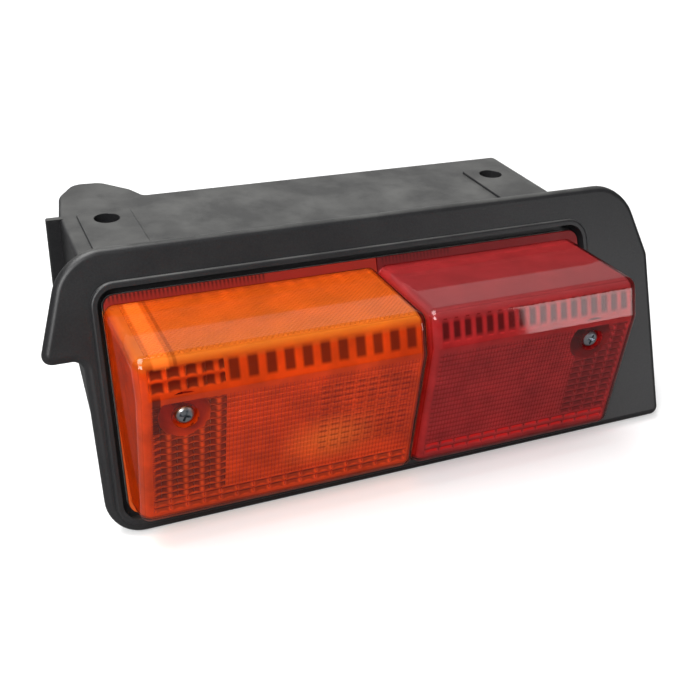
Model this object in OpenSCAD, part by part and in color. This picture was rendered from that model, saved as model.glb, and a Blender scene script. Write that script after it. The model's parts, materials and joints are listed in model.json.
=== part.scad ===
// Tail light cluster for a tractor: a black moulded housing with an inclined front frame,
// an amber turn signal lens beside a red stop and tail lens, and the lamp unit behind them.
// The origin lies midway between the two bolt holes, on the pads of the housing's top.
// X runs along the lamp, Y runs from the lenses to the rear, and Z is up.

/* [Mounting bolts] */
// Distance between the two bolt holes
bolt_pitch = 184; // [150:1:196]
// Diameter of a bolt hole
bolt_hole_d = 10.5; // [6:0.5:14]
// Width of the raised pad round a bolt hole
pad_w = 23; // [18:1:30]
// How far the raised pad reaches behind the bolt hole
pad_back = 9; // [8:0.5:14]
// Height of the raised pad
pad_h = 1; // [0.5:0.25:2]

/* [Rear box] */
// Distance from the origin to the left wall's outer face
box_left = 110.5; // [106:0.5:114]
// Distance from the origin to the right wall's outer face
box_right = 108.5; // [105:0.5:112]
// Distance from the origin to the rear wall's outer face
box_rear = 25.5; // [20:0.5:50]
// Height of the rear wall below the pads
rear_h = 44; // [36:1:70]
// Thickness of the box walls
wall = 3.5; // [2.5:0.25:5]
// How far the rounded lobe on the left stands out behind the rear wall
lobe_reach = 22.5; // [15:0.5:30]
// Radius along the top edges of the box
top_edge_r = 2; // [1:0.25:3]
// How far the locating fin stands out from the left wall
fin_reach = 5.5; // [3:0.5:8]
// Thickness of the locating fin and the ribs
fin_t = 3; // [2:0.5:5]

/* [Front frame] */
// Slope of the front frame, from upright
tilt = 22.2; // [15:0.2:28]
// Distance of the frame's face in front of the bolt holes, at pad height
frame_reach = 53.4; // [48:0.2:65]
// Height of the frame above pad height, along the slope
frame_up = 9.5; // [6:0.5:14]
// Depth of the frame below pad height, along the slope
frame_down = 101; // [100:0.5:110]
// Distance from the origin to the frame's left edge below the tab
frame_left = 116; // [115:0.5:122]
// Distance from the origin to the tip of the left tab
tab_reach = 132; // [124:0.5:140]
// Depth of the tab's underside below pad height, along the slope
tab_down = 31.5; // [26:0.5:45]
// Distance from the origin to the frame's right edge
frame_right = 142.6; // [125:0.2:150]
// Depth at which the right edge starts to lean in, along the slope
shoulder_down = 24; // [18:0.5:45]
// Lean of the tab's edge and of the shoulder, from the slope's line
lean = 18; // [8:1:24]
// Thickness of the frame
frame_t = 4; // [3:0.25:6]
// Radius of the rolled outer edge of the frame
frame_edge_r = 3; // [1.5:0.25:3]
// Width of the raised rim round the lens opening
rim_w = 2.6; // [1.5:0.1:4]
// Height of the raised rim above the frame
rim_h = 1.6; // [0.8:0.1:3]

/* [Lens opening] */
// Distance from the origin to the opening's left edge
open_left = 110; // [109:0.25:112]
// How far the opening's left edge leans in towards its top
open_lean = 1.8; // [0:0.1:3]
// Distance from the origin to the opening's right edge
open_right = 106.5; // [105:0.25:108]
// Depth of the opening's top edge, along the slope
open_top = 6; // [5:0.25:7]
// Depth of the opening's bottom edge, along the slope
open_bottom = 95.5; // [94:0.25:96]
// Corner radius of the opening
open_r = 7; // [4:0.5:12]
// Width of the ledge that carries the lamp base
ledge_w = 8.5; // [7.5:0.25:9.5]
// Thickness of the ledge
ledge_t = 3; // [2:0.5:5]

/* [Lenses] */
// Gap between the opening's left side and the amber lens's side, at its front
amber_side_gap = 4.3; // [4:0.1:6]
// Gap between the opening's right side and the red lens's side, at its front
red_side_gap = 5.3; // [4.5:0.1:6.5]
// Place of the joint between the two lenses
joint_x = 6.1; // [-10:0.1:20]
// Gap between the two lenses
lens_gap = 0.5; // [0.3:0.1:1]
// Thickness of the lens walls
lens_wall = 2.5; // [1.8:0.1:3]
// Radius of the lens's outer edges
lens_edge_r = 4; // [3.5:0.1:5]
// Widening of the lens from its front to its rear on the outer sides
side_draft = 0.8; // [0:0.1:1]
// Gap between the opening and the flange round the lenses
flange_gap = 2.5; // [2:0.1:3]
// How far the lens flange stands out in front of the frame
flange_proud = 0.8; // [0.4:0.1:1.5]
// Height of the raised prisms inside the lens
optic_h = 1.2; // [0.8:0.1:1.6]
// Height of one brick prism
brick_pitch = 3; // [2.5:0.1:4]
// Width of one block prism
block_pitch = 6.5; // [5:0.1:9]

/* [Lamp unit] */
// Thickness of the lamp base's walls
base_wall = 2.5; // [2:0.1:3.5]
// Place of the turn signal bulb along the lamp
amber_bulb_x = -48; // [-56:1:-40]
// Place of the stop and tail bulb along the lamp
red_bulb_x = 47; // [44:1:50]
// Depth of both bulbs below the pads
bulb_z = -50; // [-53:0.5:-47]
// Diameter of a bulb's glass
bulb_d = 25; // [20:0.5:28]
// Diameter of a bulb's cap
cap_d = 15; // [14:0.1:16]
// Radius of a reflector's rim
reflector_r = 26; // [22:0.5:26.5]
// Thickness of a reflector
reflector_t = 1.2; // [1:0.1:2]
// Thickness of the lens seals
seal_t = 2; // [1:0.25:3]
// Diameter of a lens screw's head
head_d = 7; // [6:0.1:8]
// Diameter of a lens screw's shank
shank_d = 3.8; // [3:0.1:4.2]
// Diameter of the grommet's bore
grommet_bore_d = 7; // [4:0.5:9]

/* [Hidden] */
// Sides of the two lenses
amber_left = open_left - amber_side_gap;
red_right = open_right - red_side_gap;

// Large reach of the cutting blocks
far = 300;
// Small overlap that joins two solids
join = 0.2;
// Running clearance between pieces
clear = 0.3;
// Steps along one rounded corner
arc_steps = 8;
// Turn between the steps of a rounded edge
edge_turn = 22.5;
// Share of the rim's height that its crest is rounded by
rim_round = 0.75;
// Smallest radius that an inset leaves at a rounded corner
least_r = 0.05;

// Height of the box's top between the pads
box_top = -pad_h;
// Front end of the box's plan, before the frame cuts it
plan_front_y = -far / 3;
plan_corner_r = 3;
plan_edge_r = 2;

// Lobe on the left of the box: places from the left wall, and the radii of its bends
lobe_foot = 40;
lobe_side = 36;
lobe_tip_right = 25;
lobe_tip_left = 12;
lobe_left = 4;
lobe_root = 16;
lobe_side_share = 0.4;
lobe_tip_fall = 1;
lobe_side_r = 5;
lobe_tip_r = 7;
lobe_left_r = 12;

// Lower edge of the box beside the frame, in front of the frame and above its foot
side_front = 35;
side_foot_rise = 6;

// Room in front of the frame for the cutters
front_room = 10;

// Front face of the vertical fin, and the depth of the ribs under the top wall
fin_y = 6.6;
rib_h = 14;
// Rounding at the corners of a pad, and its front end, clear of the frame that leans over it
pad_corner_r = 3;
cos_t = cos(tilt);
sin_t = sin(tilt);
pad_front_gap = 1;
pad_front_y = -frame_reach + frame_t * cos_t + frame_up * sin_t + pad_front_gap;

// Rise of the frame's lower edge towards its right end
foot_rise = 1;

// Depth of the lens's rear rim behind the frame's face
rim_depth = 1;
// Depth of the lamp base's flange and of the ledge that carries it
flange_y = rim_depth + seal_t;
flange_t = 2.5;
ledge_y = flange_y + flange_t;

// Lens profile in Y, Z and corner radius: rear top, front top, crease, front bottom, rear bottom
lens_back_y = -48;
lens_top_rear_z = -11.2;
lens_front_top = [-106.9, -9.1];
lens_crease = [-111.6, -23.7];
lens_front_bottom = [-104.2, -80.6];
lens_bottom_rear_z = -93;
crease_r = 1;
lens_steps = 4;
lens_profile = [
    [lens_back_y, lens_top_rear_z, 0],
    [lens_front_top.x, lens_front_top.y, lens_edge_r],
    [lens_crease.x, lens_crease.y, crease_r],
    [lens_front_bottom.x, lens_front_bottom.y, lens_edge_r],
    [lens_back_y, lens_bottom_rear_z, 0]
];

// Ends of each lens along X: front left and right, rear left and right at the top, then at the foot
lean_share = 4 / 3;
foot_draft = side_draft + lean_share * open_lean;
amber_ends = [
    -amber_left, joint_x - lens_gap / 2, -amber_left + side_draft, joint_x - lens_gap / 2,
    -amber_left - foot_draft, joint_x - lens_gap / 2
];
red_ends = [
    joint_x + lens_gap / 2, red_right, joint_x + lens_gap / 2, red_right + side_draft,
    joint_x + lens_gap / 2, red_right + side_draft
];

// Lens screws: place of each axis, seat of the head and reach of the boss behind it
amber_screw_in = 16.5;
red_screw_in = 21.2;
amber_screw_x = -amber_left + amber_screw_in;
red_screw_x = red_right - red_screw_in;
lens_screw_z = -32;
head_h = 2.6;
head_seat_y = -107.4;
boss_rear_y = -62;
boss_front_t = 1.5;
boss_front_r = 9;
boss_rear_r = 5;
recess_gap = 1.4;
recess_r = head_d / 2 + recess_gap;
recess_len = 20;

// Width of the brick field at the outer end of each lens, and the side of the grooves between prisms
amber_bricks = 32;
red_bricks = 26;
groove_side = 1.3 * optic_h;

// Lamp base body, which runs back through the ledge's window
window_left = open_left - ledge_w;
window_right = open_right - ledge_w;
window_top = open_top + ledge_w;
window_bottom = open_bottom - ledge_w;
body_left = -window_left + clear;
body_right = window_right - clear;
body_top = -window_top * cos_t - (ledge_y + ledge_t) * sin_t - clear;
body_bottom = -window_bottom * cos_t - ledge_y * sin_t + clear;
body_r = 5;
plate_rear_y = -46;
plate_t = 3;
plate_front_y = plate_rear_y - plate_t;
divider_t = 2.2;
bar_w = 8.2;

// Web of the housing behind the lamp base, with its window
web_t = 3;
web_rear_y = plate_rear_y + web_t;
web_bottom = -84;
web_hole_left = -72;
web_hole_right = 68;
web_hole_top = -30;
web_hole_bottom = -70;
web_hole_r = 6;

// Base screws
base_screw_xs = [-94.5, 89];
base_screw_zs = [-25.5, -76];
base_shank_d = 3.2;
base_head_d = 6;
base_head_h = 2;
base_boss_len = 8;

// Sockets, caps and bulbs, along Y
socket_front_y = -63;
socket_rear_y = -40;
socket_t = 0.9;
socket_r = cap_d / 2 + clear + socket_t;
socket_floor_t = 1;
socket_hole_r = 2.5;
socket_flange_w = 2.4;
socket_flange_r = socket_r + socket_flange_w;
socket_flange_t = 1.2;
disc_rear_y = -45;
disc_t = 2;
spring_turns = 2.5;
spring_wire_r = 0.4;
spring_r = 4.5;
cap_front_y = -63.5;
solder_h = 1;
cap_rear_y = disc_rear_y - disc_t - solder_h;
cup_depth = 4;
cup_wall = 0.9;
neck_r = cap_d / 2 - cup_wall;
glass_t = 0.8;
ball_reach = 15;
ball_y = cap_front_y - ball_reach;
glass_gap = 0.4;
glass_rear_y = cap_front_y + cup_depth - glass_gap;
contact_r = 2;
contact_tip_r = 1.6;
contact_offset = 2.8;
pin_y = -57.5;
pin_r = 1;
slot_w = 2.6;
slot_rear_y = -56;

// Terminals on the rear of the lamp base
blade_w = 6.3;
blade_t = 0.8;
blade_len = 13;
foot_h = 9;
strip_h = 7;
terminal_rise = 14;

// Grommet in the rear wall
grommet_z = -24;
grommet_wall = 2.5;
grommet_lip = 3;
grommet_neck_d = grommet_bore_d + 2 * grommet_wall;
grommet_flange_d = grommet_neck_d + 2 * grommet_lip;
grommet_flange_t = 2;
grommet_chamfer = 0.6;

// Unit vector along v
function unit(v) = v / norm(v);

// Turn from angle a to angle b, the short way round
function short_turn(a, b) = let (d = b - a) d > 180 ? d - 360 : d < -180 ? d + 360 : d;

// Arc of radius r that rounds the corner at b between a and c, or the corner itself where r is 0
function corner_arc(a, b, c, r, steps) = r == 0 ? [b] :
    let (
        u = unit(a - b),
        w = unit(c - b),
        half = acos(max(-1, min(1, u * w))) / 2,
        centre = b + unit(u + w) * r / sin(half),
        p0 = b + u * r / tan(half) - centre,
        p1 = b + w * r / tan(half) - centre,
        a0 = atan2(p0.y, p0.x),
        turn = short_turn(a0, atan2(p1.y, p1.x))
    )
    [for (i = [0:steps]) centre + r * [cos(a0 + turn * i / steps), sin(a0 + turn * i / steps)]];

// Sign of the turn at b: 1 on an outer corner of an outline that runs anticlockwise
function corner_sign(a, b, c) = sign((b.x - a.x) * (c.y - b.y) - (b.y - a.y) * (c.x - b.x));

// Neighbours of corner i in an outline
function before(v, i) = [v[(i + len(v) - 1) % len(v)].x, v[(i + len(v) - 1) % len(v)].y];
function here(v, i) = [v[i].x, v[i].y];
function after(v, i) = [v[(i + 1) % len(v)].x, v[(i + 1) % len(v)].y];

// Outline of corners [x, y, radius], moved inwards by d with its radii kept true
function inset(v, d) = [
    for (i = [0:len(v) - 1])
        let (
            a = before(v, i),
            b = here(v, i),
            c = after(v, i),
            s = corner_sign(a, b, c),
            u = unit(a - b),
            w = unit(c - b),
            half = acos(max(-1, min(1, u * w))) / 2,
            p = b + unit(u + w) * s * d / sin(half)
        )
        [p.x, p.y, v[i].z == 0 ? 0 : max(least_r, v[i].z - s * d)]
];

// Points of an outline with its corners rounded
function rounded(v, steps = arc_steps) = [
    for (i = [0:len(v) - 1])
        each corner_arc(before(v, i), here(v, i), after(v, i), v[i].z, steps)
];

// Solid through rings of one outline: each step is [height, inset], from the bottom up.
// The whole outline is in sight of the point called middle, so both ends are fans from there.
module loft(outline, steps, middle) {
    rings = [for (s = steps) [for (p = rounded(inset(outline, s[1]))) [p.x, p.y, s[0]]]];
    n = len(rings[0]);
    m = len(rings);
    points = concat(
        [for (r = rings) each r],
        [[middle.x, middle.y, steps[0][0]], [middle.x, middle.y, steps[m - 1][0]]]
    );
    sides = [
        for (k = [0:m - 2], i = [0:n - 1])
            [k * n + i, (k + 1) * n + i, (k + 1) * n + (i + 1) % n, k * n + (i + 1) % n]
    ];
    low = [for (i = [0:n - 1]) [m * n, i, (i + 1) % n]];
    high = [for (i = [0:n - 1]) [m * n + 1, (m - 1) * n + (i + 1) % n, (m - 1) * n + i]];
    polyhedron(points = points, faces = concat(low, sides, high), convexity = 6);
}

// Steps of a quarter round of radius r that ends at height top
function edge_round(top, r) = [for (a = [0:edge_turn:90]) [top - r + r * sin(a), r - r * cos(a)]];

// Frame of the sloping face: X along the lamp, Z up the slope, Y into the housing
module on_slope() {
    translate([0, -frame_reach, 0]) rotate([-tilt, 0, 0]) children();
}

// Outline in X and slope height, raised from depth y1 to depth y0
module slab(y0, y1) {
    translate([0, y1, 0]) rotate([90, 0, 0]) linear_extrude(height = y1 - y0) children();
}

// Everything in front of, or behind, a depth below the frame's face
module ahead_of(depth) {
    on_slope() translate([-far, depth - far, -far]) cube([2 * far, far, 2 * far]);
}

module behind(depth) {
    on_slope() translate([-far, depth, -far]) cube([2 * far, far, 2 * far]);
}

// Prism along Y with rounded corners
module y_prism(x0, x1, z0, z1, y0, y1, r) {
    translate([0, y1, 0]) rotate([90, 0, 0]) linear_extrude(height = y1 - y0)
        polygon(rounded([[x0, z0, r], [x1, z0, r], [x1, z1, r], [x0, z1, r]]));
}

// Round bar along Y
module y_bar(x, z, y0, y1, r0, r1) {
    translate([x, y0, z]) rotate([-90, 0, 0]) cylinder(h = y1 - y0, r1 = r0, r2 = r1, $fn = 48);
}

// Outer outline of the front frame, with its left tab and its right shoulder
frame_corners = [
    [-frame_left, -frame_down, 14],
    [frame_right, -frame_down + foot_rise, 4],
    [frame_right, -shoulder_down, 6],
    [frame_right - (shoulder_down + frame_up) * tan(lean), frame_up, 20],
    [-tab_reach + (tab_down + frame_up) * tan(lean), frame_up, 20],
    [-tab_reach, -tab_down, 4],
    [-frame_left, -tab_down, 4]
];

// Outline of the lens opening
open_corners = [
    [-open_left, -open_bottom, open_r],
    [open_right, -open_bottom, open_r],
    [open_right, -open_top, open_r],
    [-open_left + open_lean, -open_top, open_r]
];

// Plan of the rear box with the lobe on its left
lobe_tip = box_rear + lobe_reach;
plan_corners = [
    [-box_left, plan_front_y, plan_edge_r],
    [box_right, plan_front_y, plan_edge_r],
    [box_right, box_rear, plan_corner_r],
    [-box_left + lobe_foot, box_rear, plan_edge_r],
    [-box_left + lobe_side, box_rear + lobe_reach * lobe_side_share, lobe_side_r],
    [-box_left + lobe_tip_right, lobe_tip - lobe_tip_fall, lobe_tip_r],
    [-box_left + lobe_tip_left, lobe_tip, lobe_tip_r],
    [-box_left + lobe_left, box_rear + lobe_reach * lobe_side_share, lobe_left_r],
    [-box_left, box_rear - lobe_root, lobe_left_r]
];

module frame_plate() {
    on_slope() rotate([90, 0, 0]) loft(
        frame_corners,
        concat([[-frame_t, 0]], edge_round(0, frame_edge_r)),
        [0, -open_top - ledge_w]
    );
}

// Raised rim round the opening, with a rounded crest
module rim() {
    on_slope() rotate([90, 0, 0]) loft(
        inset(open_corners, -rim_w),
        concat([[-join, 0]], edge_round(rim_h, rim_h * rim_round)),
        [0, -frame_down / 2]
    );
}

// Wall behind the frame that leads from the opening to the ledge
module collar() {
    on_slope() slab(frame_t - join, ledge_y + ledge_t)
        polygon(rounded(inset(open_corners, -wall)));
}

module box_shell() {
    intersection() {
        difference() {
            loft(plan_corners, concat([[plan_front_y, 0]], edge_round(box_top, top_edge_r)), [pad_w - box_left, 0]);
            translate([0, 0, -far / 2]) linear_extrude(height = far / 2 + box_top - wall)
                polygon(rounded(inset(plan_corners, wall)));
        }
        side_profile();
    }
}

// Side view of the box: the lower edge rises from the frame to the rear wall
module side_profile() {
    translate([-far / 2, 0, 0]) rotate([90, 0, 90]) linear_extrude(height = far) polygon([
        [-frame_reach - side_front, -frame_down * cos_t + side_foot_rise],
        [web_rear_y, web_bottom],
        [box_rear + wall, -rear_h],
        [far / 3, -rear_h],
        [far / 3, far / 3],
        [-frame_reach - side_front, far / 3]
    ]);
}

// Raised pad round one bolt hole, which runs forward until it would pass under the frame's edge
module pad(x) {
    x0 = x - pad_w / 2;
    x1 = x + pad_w / 2;
    translate([0, 0, box_top - wall]) linear_extrude(height = pad_h + wall) polygon(rounded([
        [x0, pad_front_y, pad_corner_r], [x1, pad_front_y, pad_corner_r],
        [x1, pad_back, pad_corner_r], [x0, pad_back, pad_corner_r]
    ]));
}

module fin() {
    translate([-box_left - fin_reach, fin_y, -rear_h]) cube([fin_reach + wall / 2, fin_t, rear_h + box_top]);
}

// Web behind the lamp base, with the bosses for its screws
module web() {
    translate([-box_left + wall / 2, plate_rear_y, web_bottom])
        cube([box_left + box_right - wall, web_t, box_top - wall / 2 - web_bottom]);
    for (x = base_screw_xs, z = base_screw_zs)
        y_bar(x, z, web_rear_y - join, web_rear_y + base_boss_len, base_shank_d, base_shank_d);
}

// Ribs under the top wall, from the web to the rear wall
module ribs() {
    for (x = [-bolt_pitch / 4, bolt_pitch / 4])
        translate([x - fin_t / 2, web_rear_y - join, box_top - wall - rib_h])
            cube([fin_t, box_rear - web_rear_y - wall / 2, rib_h + wall / 2]);
}

module housing() {
    color("#232427") difference() {
        union() {
            difference() {
                union() {
                    frame_plate();
                    rim();
                    collar();
                    intersection() {
                        union() {
                            box_shell();
                            web();
                            ribs();
                        }
                        behind(frame_t / 2);
                    }
                    fin();
                }
                // Opening down to the ledge, and the window through the ledge
                on_slope() slab(-front_room, ledge_y) polygon(rounded(open_corners));
                on_slope() slab(-front_room, ledge_y + ledge_t + join)
                    polygon(rounded(inset(open_corners, ledge_w)));
                y_prism(
                    body_left - clear, body_right + clear, body_bottom - clear, body_top + clear,
                    -far / 3, plate_rear_y, body_r
                );
            }
            pad(-bolt_pitch / 2);
            pad(bolt_pitch / 2);
        }
        for (x = [-bolt_pitch / 2, bolt_pitch / 2])
            translate([x, 0, -far / 4]) cylinder(h = far / 2, d = bolt_hole_d, $fn = 48);
        y_prism(
            web_hole_left, web_hole_right, web_hole_bottom, web_hole_top,
            plate_rear_y - 1, web_rear_y + 1, web_hole_r
        );
        for (x = base_screw_xs, z = base_screw_zs)
            y_bar(x, z, plate_rear_y - 1, web_rear_y + base_boss_len + 1,
                base_shank_d / 2 + clear / 3, base_shank_d / 2 + clear / 3);
        y_bar(0, grommet_z, box_rear - wall - 1, box_rear + 1, grommet_neck_d / 2, grommet_neck_d / 2);
    }
}

// Place along X of one end of a lens at y and z: its sides widen towards the rear and the foot
function end_x(ends, side, y, z) =
    let (
        back = (y - lens_crease.x) / (lens_back_y - lens_crease.x),
        down = (lens_top_rear_z - z) / (lens_top_rear_z - lens_bottom_rear_z),
        rear = ends[2 + side] + (ends[4 + side] - ends[2 + side]) * down
    )
    ends[side] + (rear - ends[side]) * back;

// Closed lens body between two ends with rounded edges, made thinner all round by g
module lens_form(ends, g) {
    r = lens_edge_r - g;
    turns = [for (a = [90:-edge_turn:0]) a];
    // Each step is [side, distance in from that end, inset of the profile]
    steps = concat(
        [for (a = turns) [0, g + r - r * sin(a), g + r - r * cos(a)]],
        [for (i = [len(turns) - 1:-1:0]) [1, g + r - r * sin(turns[i]), g + r - r * cos(turns[i])]]
    );
    rings = [
        for (s = steps) [
            for (p = rounded(inset(lens_profile, s[2]), lens_steps))
                [end_x(ends, s[0], p.x, p.y) + (s[0] == 0 ? s[1] : -s[1]), p.x, p.y]
        ]
    ];
    n = len(rings[0]);
    m = len(rings);
    mid_y = (lens_back_y + lens_crease.x) / 2;
    mid_z = (lens_top_rear_z + lens_bottom_rear_z) / 2;
    points = concat(
        [for (ring = rings) each ring],
        [for (side = [0, 1]) [end_x(ends, side, mid_y, mid_z) + (side == 0 ? g : -g), mid_y, mid_z]]
    );
    around = [
        for (k = [0:m - 2], i = [0:n - 1])
            let (j = (i + 1) % n)
            each k == m / 2 - 1
                ? [[k * n + i, (k + 1) * n + i, (k + 1) * n + j, k * n + j]]
                : [[k * n + i, (k + 1) * n + i, (k + 1) * n + j], [k * n + i, (k + 1) * n + j, k * n + j]]
    ];
    left = [for (i = [0:n - 1]) [m * n, i, (i + 1) % n]];
    right = [for (i = [0:n - 1]) [m * n + 1, (m - 1) * n + (i + 1) % n, (m - 1) * n + i]];
    polyhedron(points = points, faces = concat(left, around, right), convexity = 4);
}

// Place on the lower front panel's outer face at height z
function panel_y(z) =
    lens_crease.x + (lens_front_bottom.x - lens_crease.x) * (z - lens_crease.y) / (lens_front_bottom.y - lens_crease.y);

// Place on the upper front band's outer face at height z
function band_y(z) =
    lens_crease.x + (lens_front_top.x - lens_crease.x) * (z - lens_crease.y) / (lens_front_top.y - lens_crease.y);

// Groove across the inner face, from x0 to x1 at height z
module row_groove(x0, x1, z, y) {
    translate([x0, y + lens_wall + optic_h, z]) rotate([45, 0, 0])
        cube([x1 - x0, groove_side, groove_side]);
}

// Upright groove down the inner face at x, between heights z0 and z1
module column_groove(x, z0, z1, y0, y1) {
    angle = atan2(y1 - y0, z1 - z0);
    translate([x, y0 + lens_wall + optic_h, z0]) rotate([-angle, 0, 0]) rotate([0, 0, 45])
        translate([-groove_side / 2, -groove_side / 2, 0])
            cube([groove_side, groove_side, norm([y1 - y0, z1 - z0])]);
}

// Heights of the prism zones inside the front of a lens
band_top = -12.5;
band_bottom = -22.8;
low_top = -25.5;
foot_top = -70;
foot_bottom = -77;

// Prisms inside a lens: a block band above the crease, a brick field at the outer end
// and a double row of bricks along the foot
module optics(ends, field_x0, field_x1) {
    x0 = ends[0] + lens_edge_r;
    x1 = ends[1] - lens_edge_r;
    blocks = floor((x1 - x0) / block_pitch);
    feet = floor((x1 - x0) / (2 * block_pitch));
    bricks = floor((low_top - foot_bottom) / brick_pitch);
    difference() {
        intersection() {
            lens_form(ends, lens_wall - join);
            union() {
                translate([x0, -far / 2, band_bottom]) cube([x1 - x0, far / 4, band_top - band_bottom]);
                translate([field_x0, -far / 2, foot_bottom])
                    cube([field_x1 - field_x0, far / 4, low_top - foot_bottom]);
                translate([x0, -far / 2, foot_bottom]) cube([x1 - x0, far / 4, foot_top - foot_bottom]);
            }
        }
        lens_form(ends, lens_wall + optic_h);
        for (i = [1:blocks - 1])
            column_groove(x0 + i * (x1 - x0) / blocks, band_bottom - 1, band_top + 1,
                band_y(band_bottom - 1), band_y(band_top + 1));
        for (i = [1:bricks - 1])
            row_groove(field_x0 - 1, field_x1 + 1, low_top - i * brick_pitch - 1,
                panel_y(low_top - i * brick_pitch - 1));
        for (x = [field_x0 + block_pitch:block_pitch:field_x1 - 1])
            column_groove(x, foot_bottom - 1, low_top + 1, panel_y(foot_bottom - 1), panel_y(low_top + 1));
        for (i = [1:2 * feet - 1])
            column_groove(x0 + i * (x1 - x0) / (2 * feet), foot_bottom - 1, foot_top + 1,
                panel_y(foot_bottom - 1), panel_y(foot_top + 1));
        row_groove(x0 - 1, x1 + 1, (foot_top + foot_bottom) / 2, panel_y((foot_top + foot_bottom) / 2));
    }
}

// Flange that runs round both lenses, between two depths and two places along the lamp
module flange_plate(depth0, depth1, x0, x1) {
    intersection() {
        on_slope() slab(depth0, depth1) polygon(rounded(inset(open_corners, flange_gap)));
        translate([x0, -far / 2, -far / 2]) cube([x1 - x0, far, far]);
    }
}

// Far ends of each lens's flange, which stop at the joint
amber_span = [-far / 2, joint_x - lens_gap / 2];
red_span = [joint_x + lens_gap / 2, far / 2];

// Lens with its flange, its prisms and its screw boss
module lens(ends, span, screw_x, field_x0, field_x1) {
    difference() {
        union() {
            difference() {
                union() {
                    intersection() {
                        lens_form(ends, 0);
                        ahead_of(rim_depth);
                    }
                    flange_plate(-flange_proud, rim_depth, span[0], span[1]);
                }
                lens_form(ends, lens_wall);
            }
            optics(ends, field_x0, field_x1);
            y_bar(screw_x, lens_screw_z, head_seat_y - boss_front_t, boss_rear_y - clear, boss_front_r, boss_rear_r);
        }
        y_bar(screw_x, lens_screw_z, head_seat_y - recess_len, head_seat_y, recess_r, recess_r);
        y_bar(screw_x, lens_screw_z, head_seat_y - 1, boss_rear_y + 1, shank_d / 2 + clear, shank_d / 2 + clear);
    }
}

module amber_lens() {
    color("#e8701a", 0.8)
        lens(amber_ends, amber_span, amber_screw_x, -amber_left + lens_edge_r, -amber_left + amber_bricks);
}

module red_lens() {
    color("#b01020", 0.8)
        lens(red_ends, red_span, red_screw_x, red_right - red_bricks, red_right - lens_edge_r);
}

// Seal under the flange of a lens
module lens_seal(ends, span) {
    difference() {
        flange_plate(rim_depth, rim_depth + seal_t, span[0], span[1]);
        lens_form(ends, lens_wall);
    }
}

module amber_lens_seal() {
    color("#3a3a3a") lens_seal(amber_ends, amber_span);
}

module red_lens_seal() {
    color("#3a3a3a") lens_seal(red_ends, red_span);
}

// Tub that holds both reflectors and carries the lenses on its flange
module lamp_base() {
    color("#cfcfc8") difference() {
        union() {
            flange_plate(flange_y, ledge_y, -far / 2, far / 2);
            intersection() {
                y_prism(body_left, body_right, body_bottom, body_top, -far / 3, plate_rear_y, body_r);
                behind(flange_y);
            }
        }
        // The two chambers behind the flange
        intersection() {
            union() {
                chamber(body_left + base_wall, joint_x - divider_t / 2);
                chamber(joint_x + divider_t / 2, body_right - base_wall);
            }
            behind(ledge_y);
        }
        // The two windows through the flange
        chamber(body_left + base_wall, joint_x - bar_w / 2);
        chamber(joint_x + bar_w / 2, body_right - base_wall);
        for (x = [amber_bulb_x, red_bulb_x])
            y_bar(x, bulb_z, plate_front_y - 1, plate_rear_y + 1, socket_r + clear, socket_r + clear);
        for (x = base_screw_xs, z = base_screw_zs)
            y_bar(x, z, plate_front_y - 1, plate_rear_y + 1, base_shank_d / 2 + clear, base_shank_d / 2 + clear);
    }
    color("#cfcfc8") for (x = [amber_screw_x, red_screw_x]) screw_post(x);
}

module chamber(x0, x1) {
    y_prism(x0, x1, body_bottom + base_wall, body_top - base_wall, -far / 3, plate_front_y, body_r - base_wall);
}

// Post that takes the thread of a lens screw
module screw_post(x) {
    difference() {
        y_bar(x, lens_screw_z, boss_rear_y, plate_front_y + join, boss_rear_r, boss_rear_r);
        y_bar(x, lens_screw_z, boss_rear_y - 1, plate_front_y - 1, shank_d / 2 + clear / 3, shank_d / 2 + clear / 3);
    }
}

// Dish that follows a parabola from the socket to its rim
dish_depth = 15;
dish_foot_r = socket_r + 1.2;
dish_step = 1.5;
dish_lip = 0.5;

function dish_r(y) = dish_foot_r + (reflector_r - dish_foot_r) * sqrt(y / dish_depth);

module reflector(x) {
    steps = [for (y = [0:dish_step:dish_depth]) y];
    translate([x, plate_front_y, bulb_z]) rotate([90, 0, 0]) rotate_extrude($fn = 72) polygon(concat(
        [for (y = steps) [dish_r(y), y + reflector_t]],
        [[dish_r(dish_depth) + reflector_t, dish_depth + reflector_t]],
        [for (i = [len(steps) - 1:-1:0]) [dish_r(steps[i]) + reflector_t, steps[i]]],
        [[dish_foot_r - dish_lip, 0], [dish_foot_r - dish_lip, reflector_t]]
    ));
}

module amber_reflector() {
    color("silver") reflector(amber_bulb_x);
}

module red_reflector() {
    color("silver") reflector(red_bulb_x);
}

// Bayonet socket with its flange behind the base plate
module socket(x) {
    difference() {
        union() {
            y_bar(x, bulb_z, socket_front_y, socket_rear_y, socket_r, socket_r);
            y_bar(x, bulb_z, plate_rear_y, plate_rear_y + socket_flange_t, socket_flange_r, socket_flange_r);
        }
        y_bar(x, bulb_z, socket_front_y - 1, socket_rear_y - socket_floor_t,
            socket_r - socket_t, socket_r - socket_t);
        y_bar(x, bulb_z, socket_rear_y - 2 * socket_floor_t, socket_rear_y + 1, socket_hole_r, socket_hole_r);
        for (s = [-1, 1]) {
            translate([x + s * socket_r - socket_t * 2, socket_front_y - 1, bulb_z - slot_w / 2])
                cube([socket_t * 4, slot_rear_y - socket_front_y + 1, slot_w]);
            translate([x + s * socket_r - socket_t * 2, slot_rear_y - slot_w, bulb_z - slot_w / 2])
                cube([socket_t * 4, slot_w, slot_w + 2]);
        }
    }
}

module indicator_socket() {
    color("silver") socket(amber_bulb_x);
}

module stop_socket() {
    color("silver") socket(red_bulb_x);
}

// Insulating disc with its contact faces, pushed forward by the spring
module contact_disc(x) {
    y_bar(x, bulb_z, disc_rear_y - disc_t, disc_rear_y, socket_r - socket_t - clear, socket_r - socket_t - clear);
}

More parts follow.
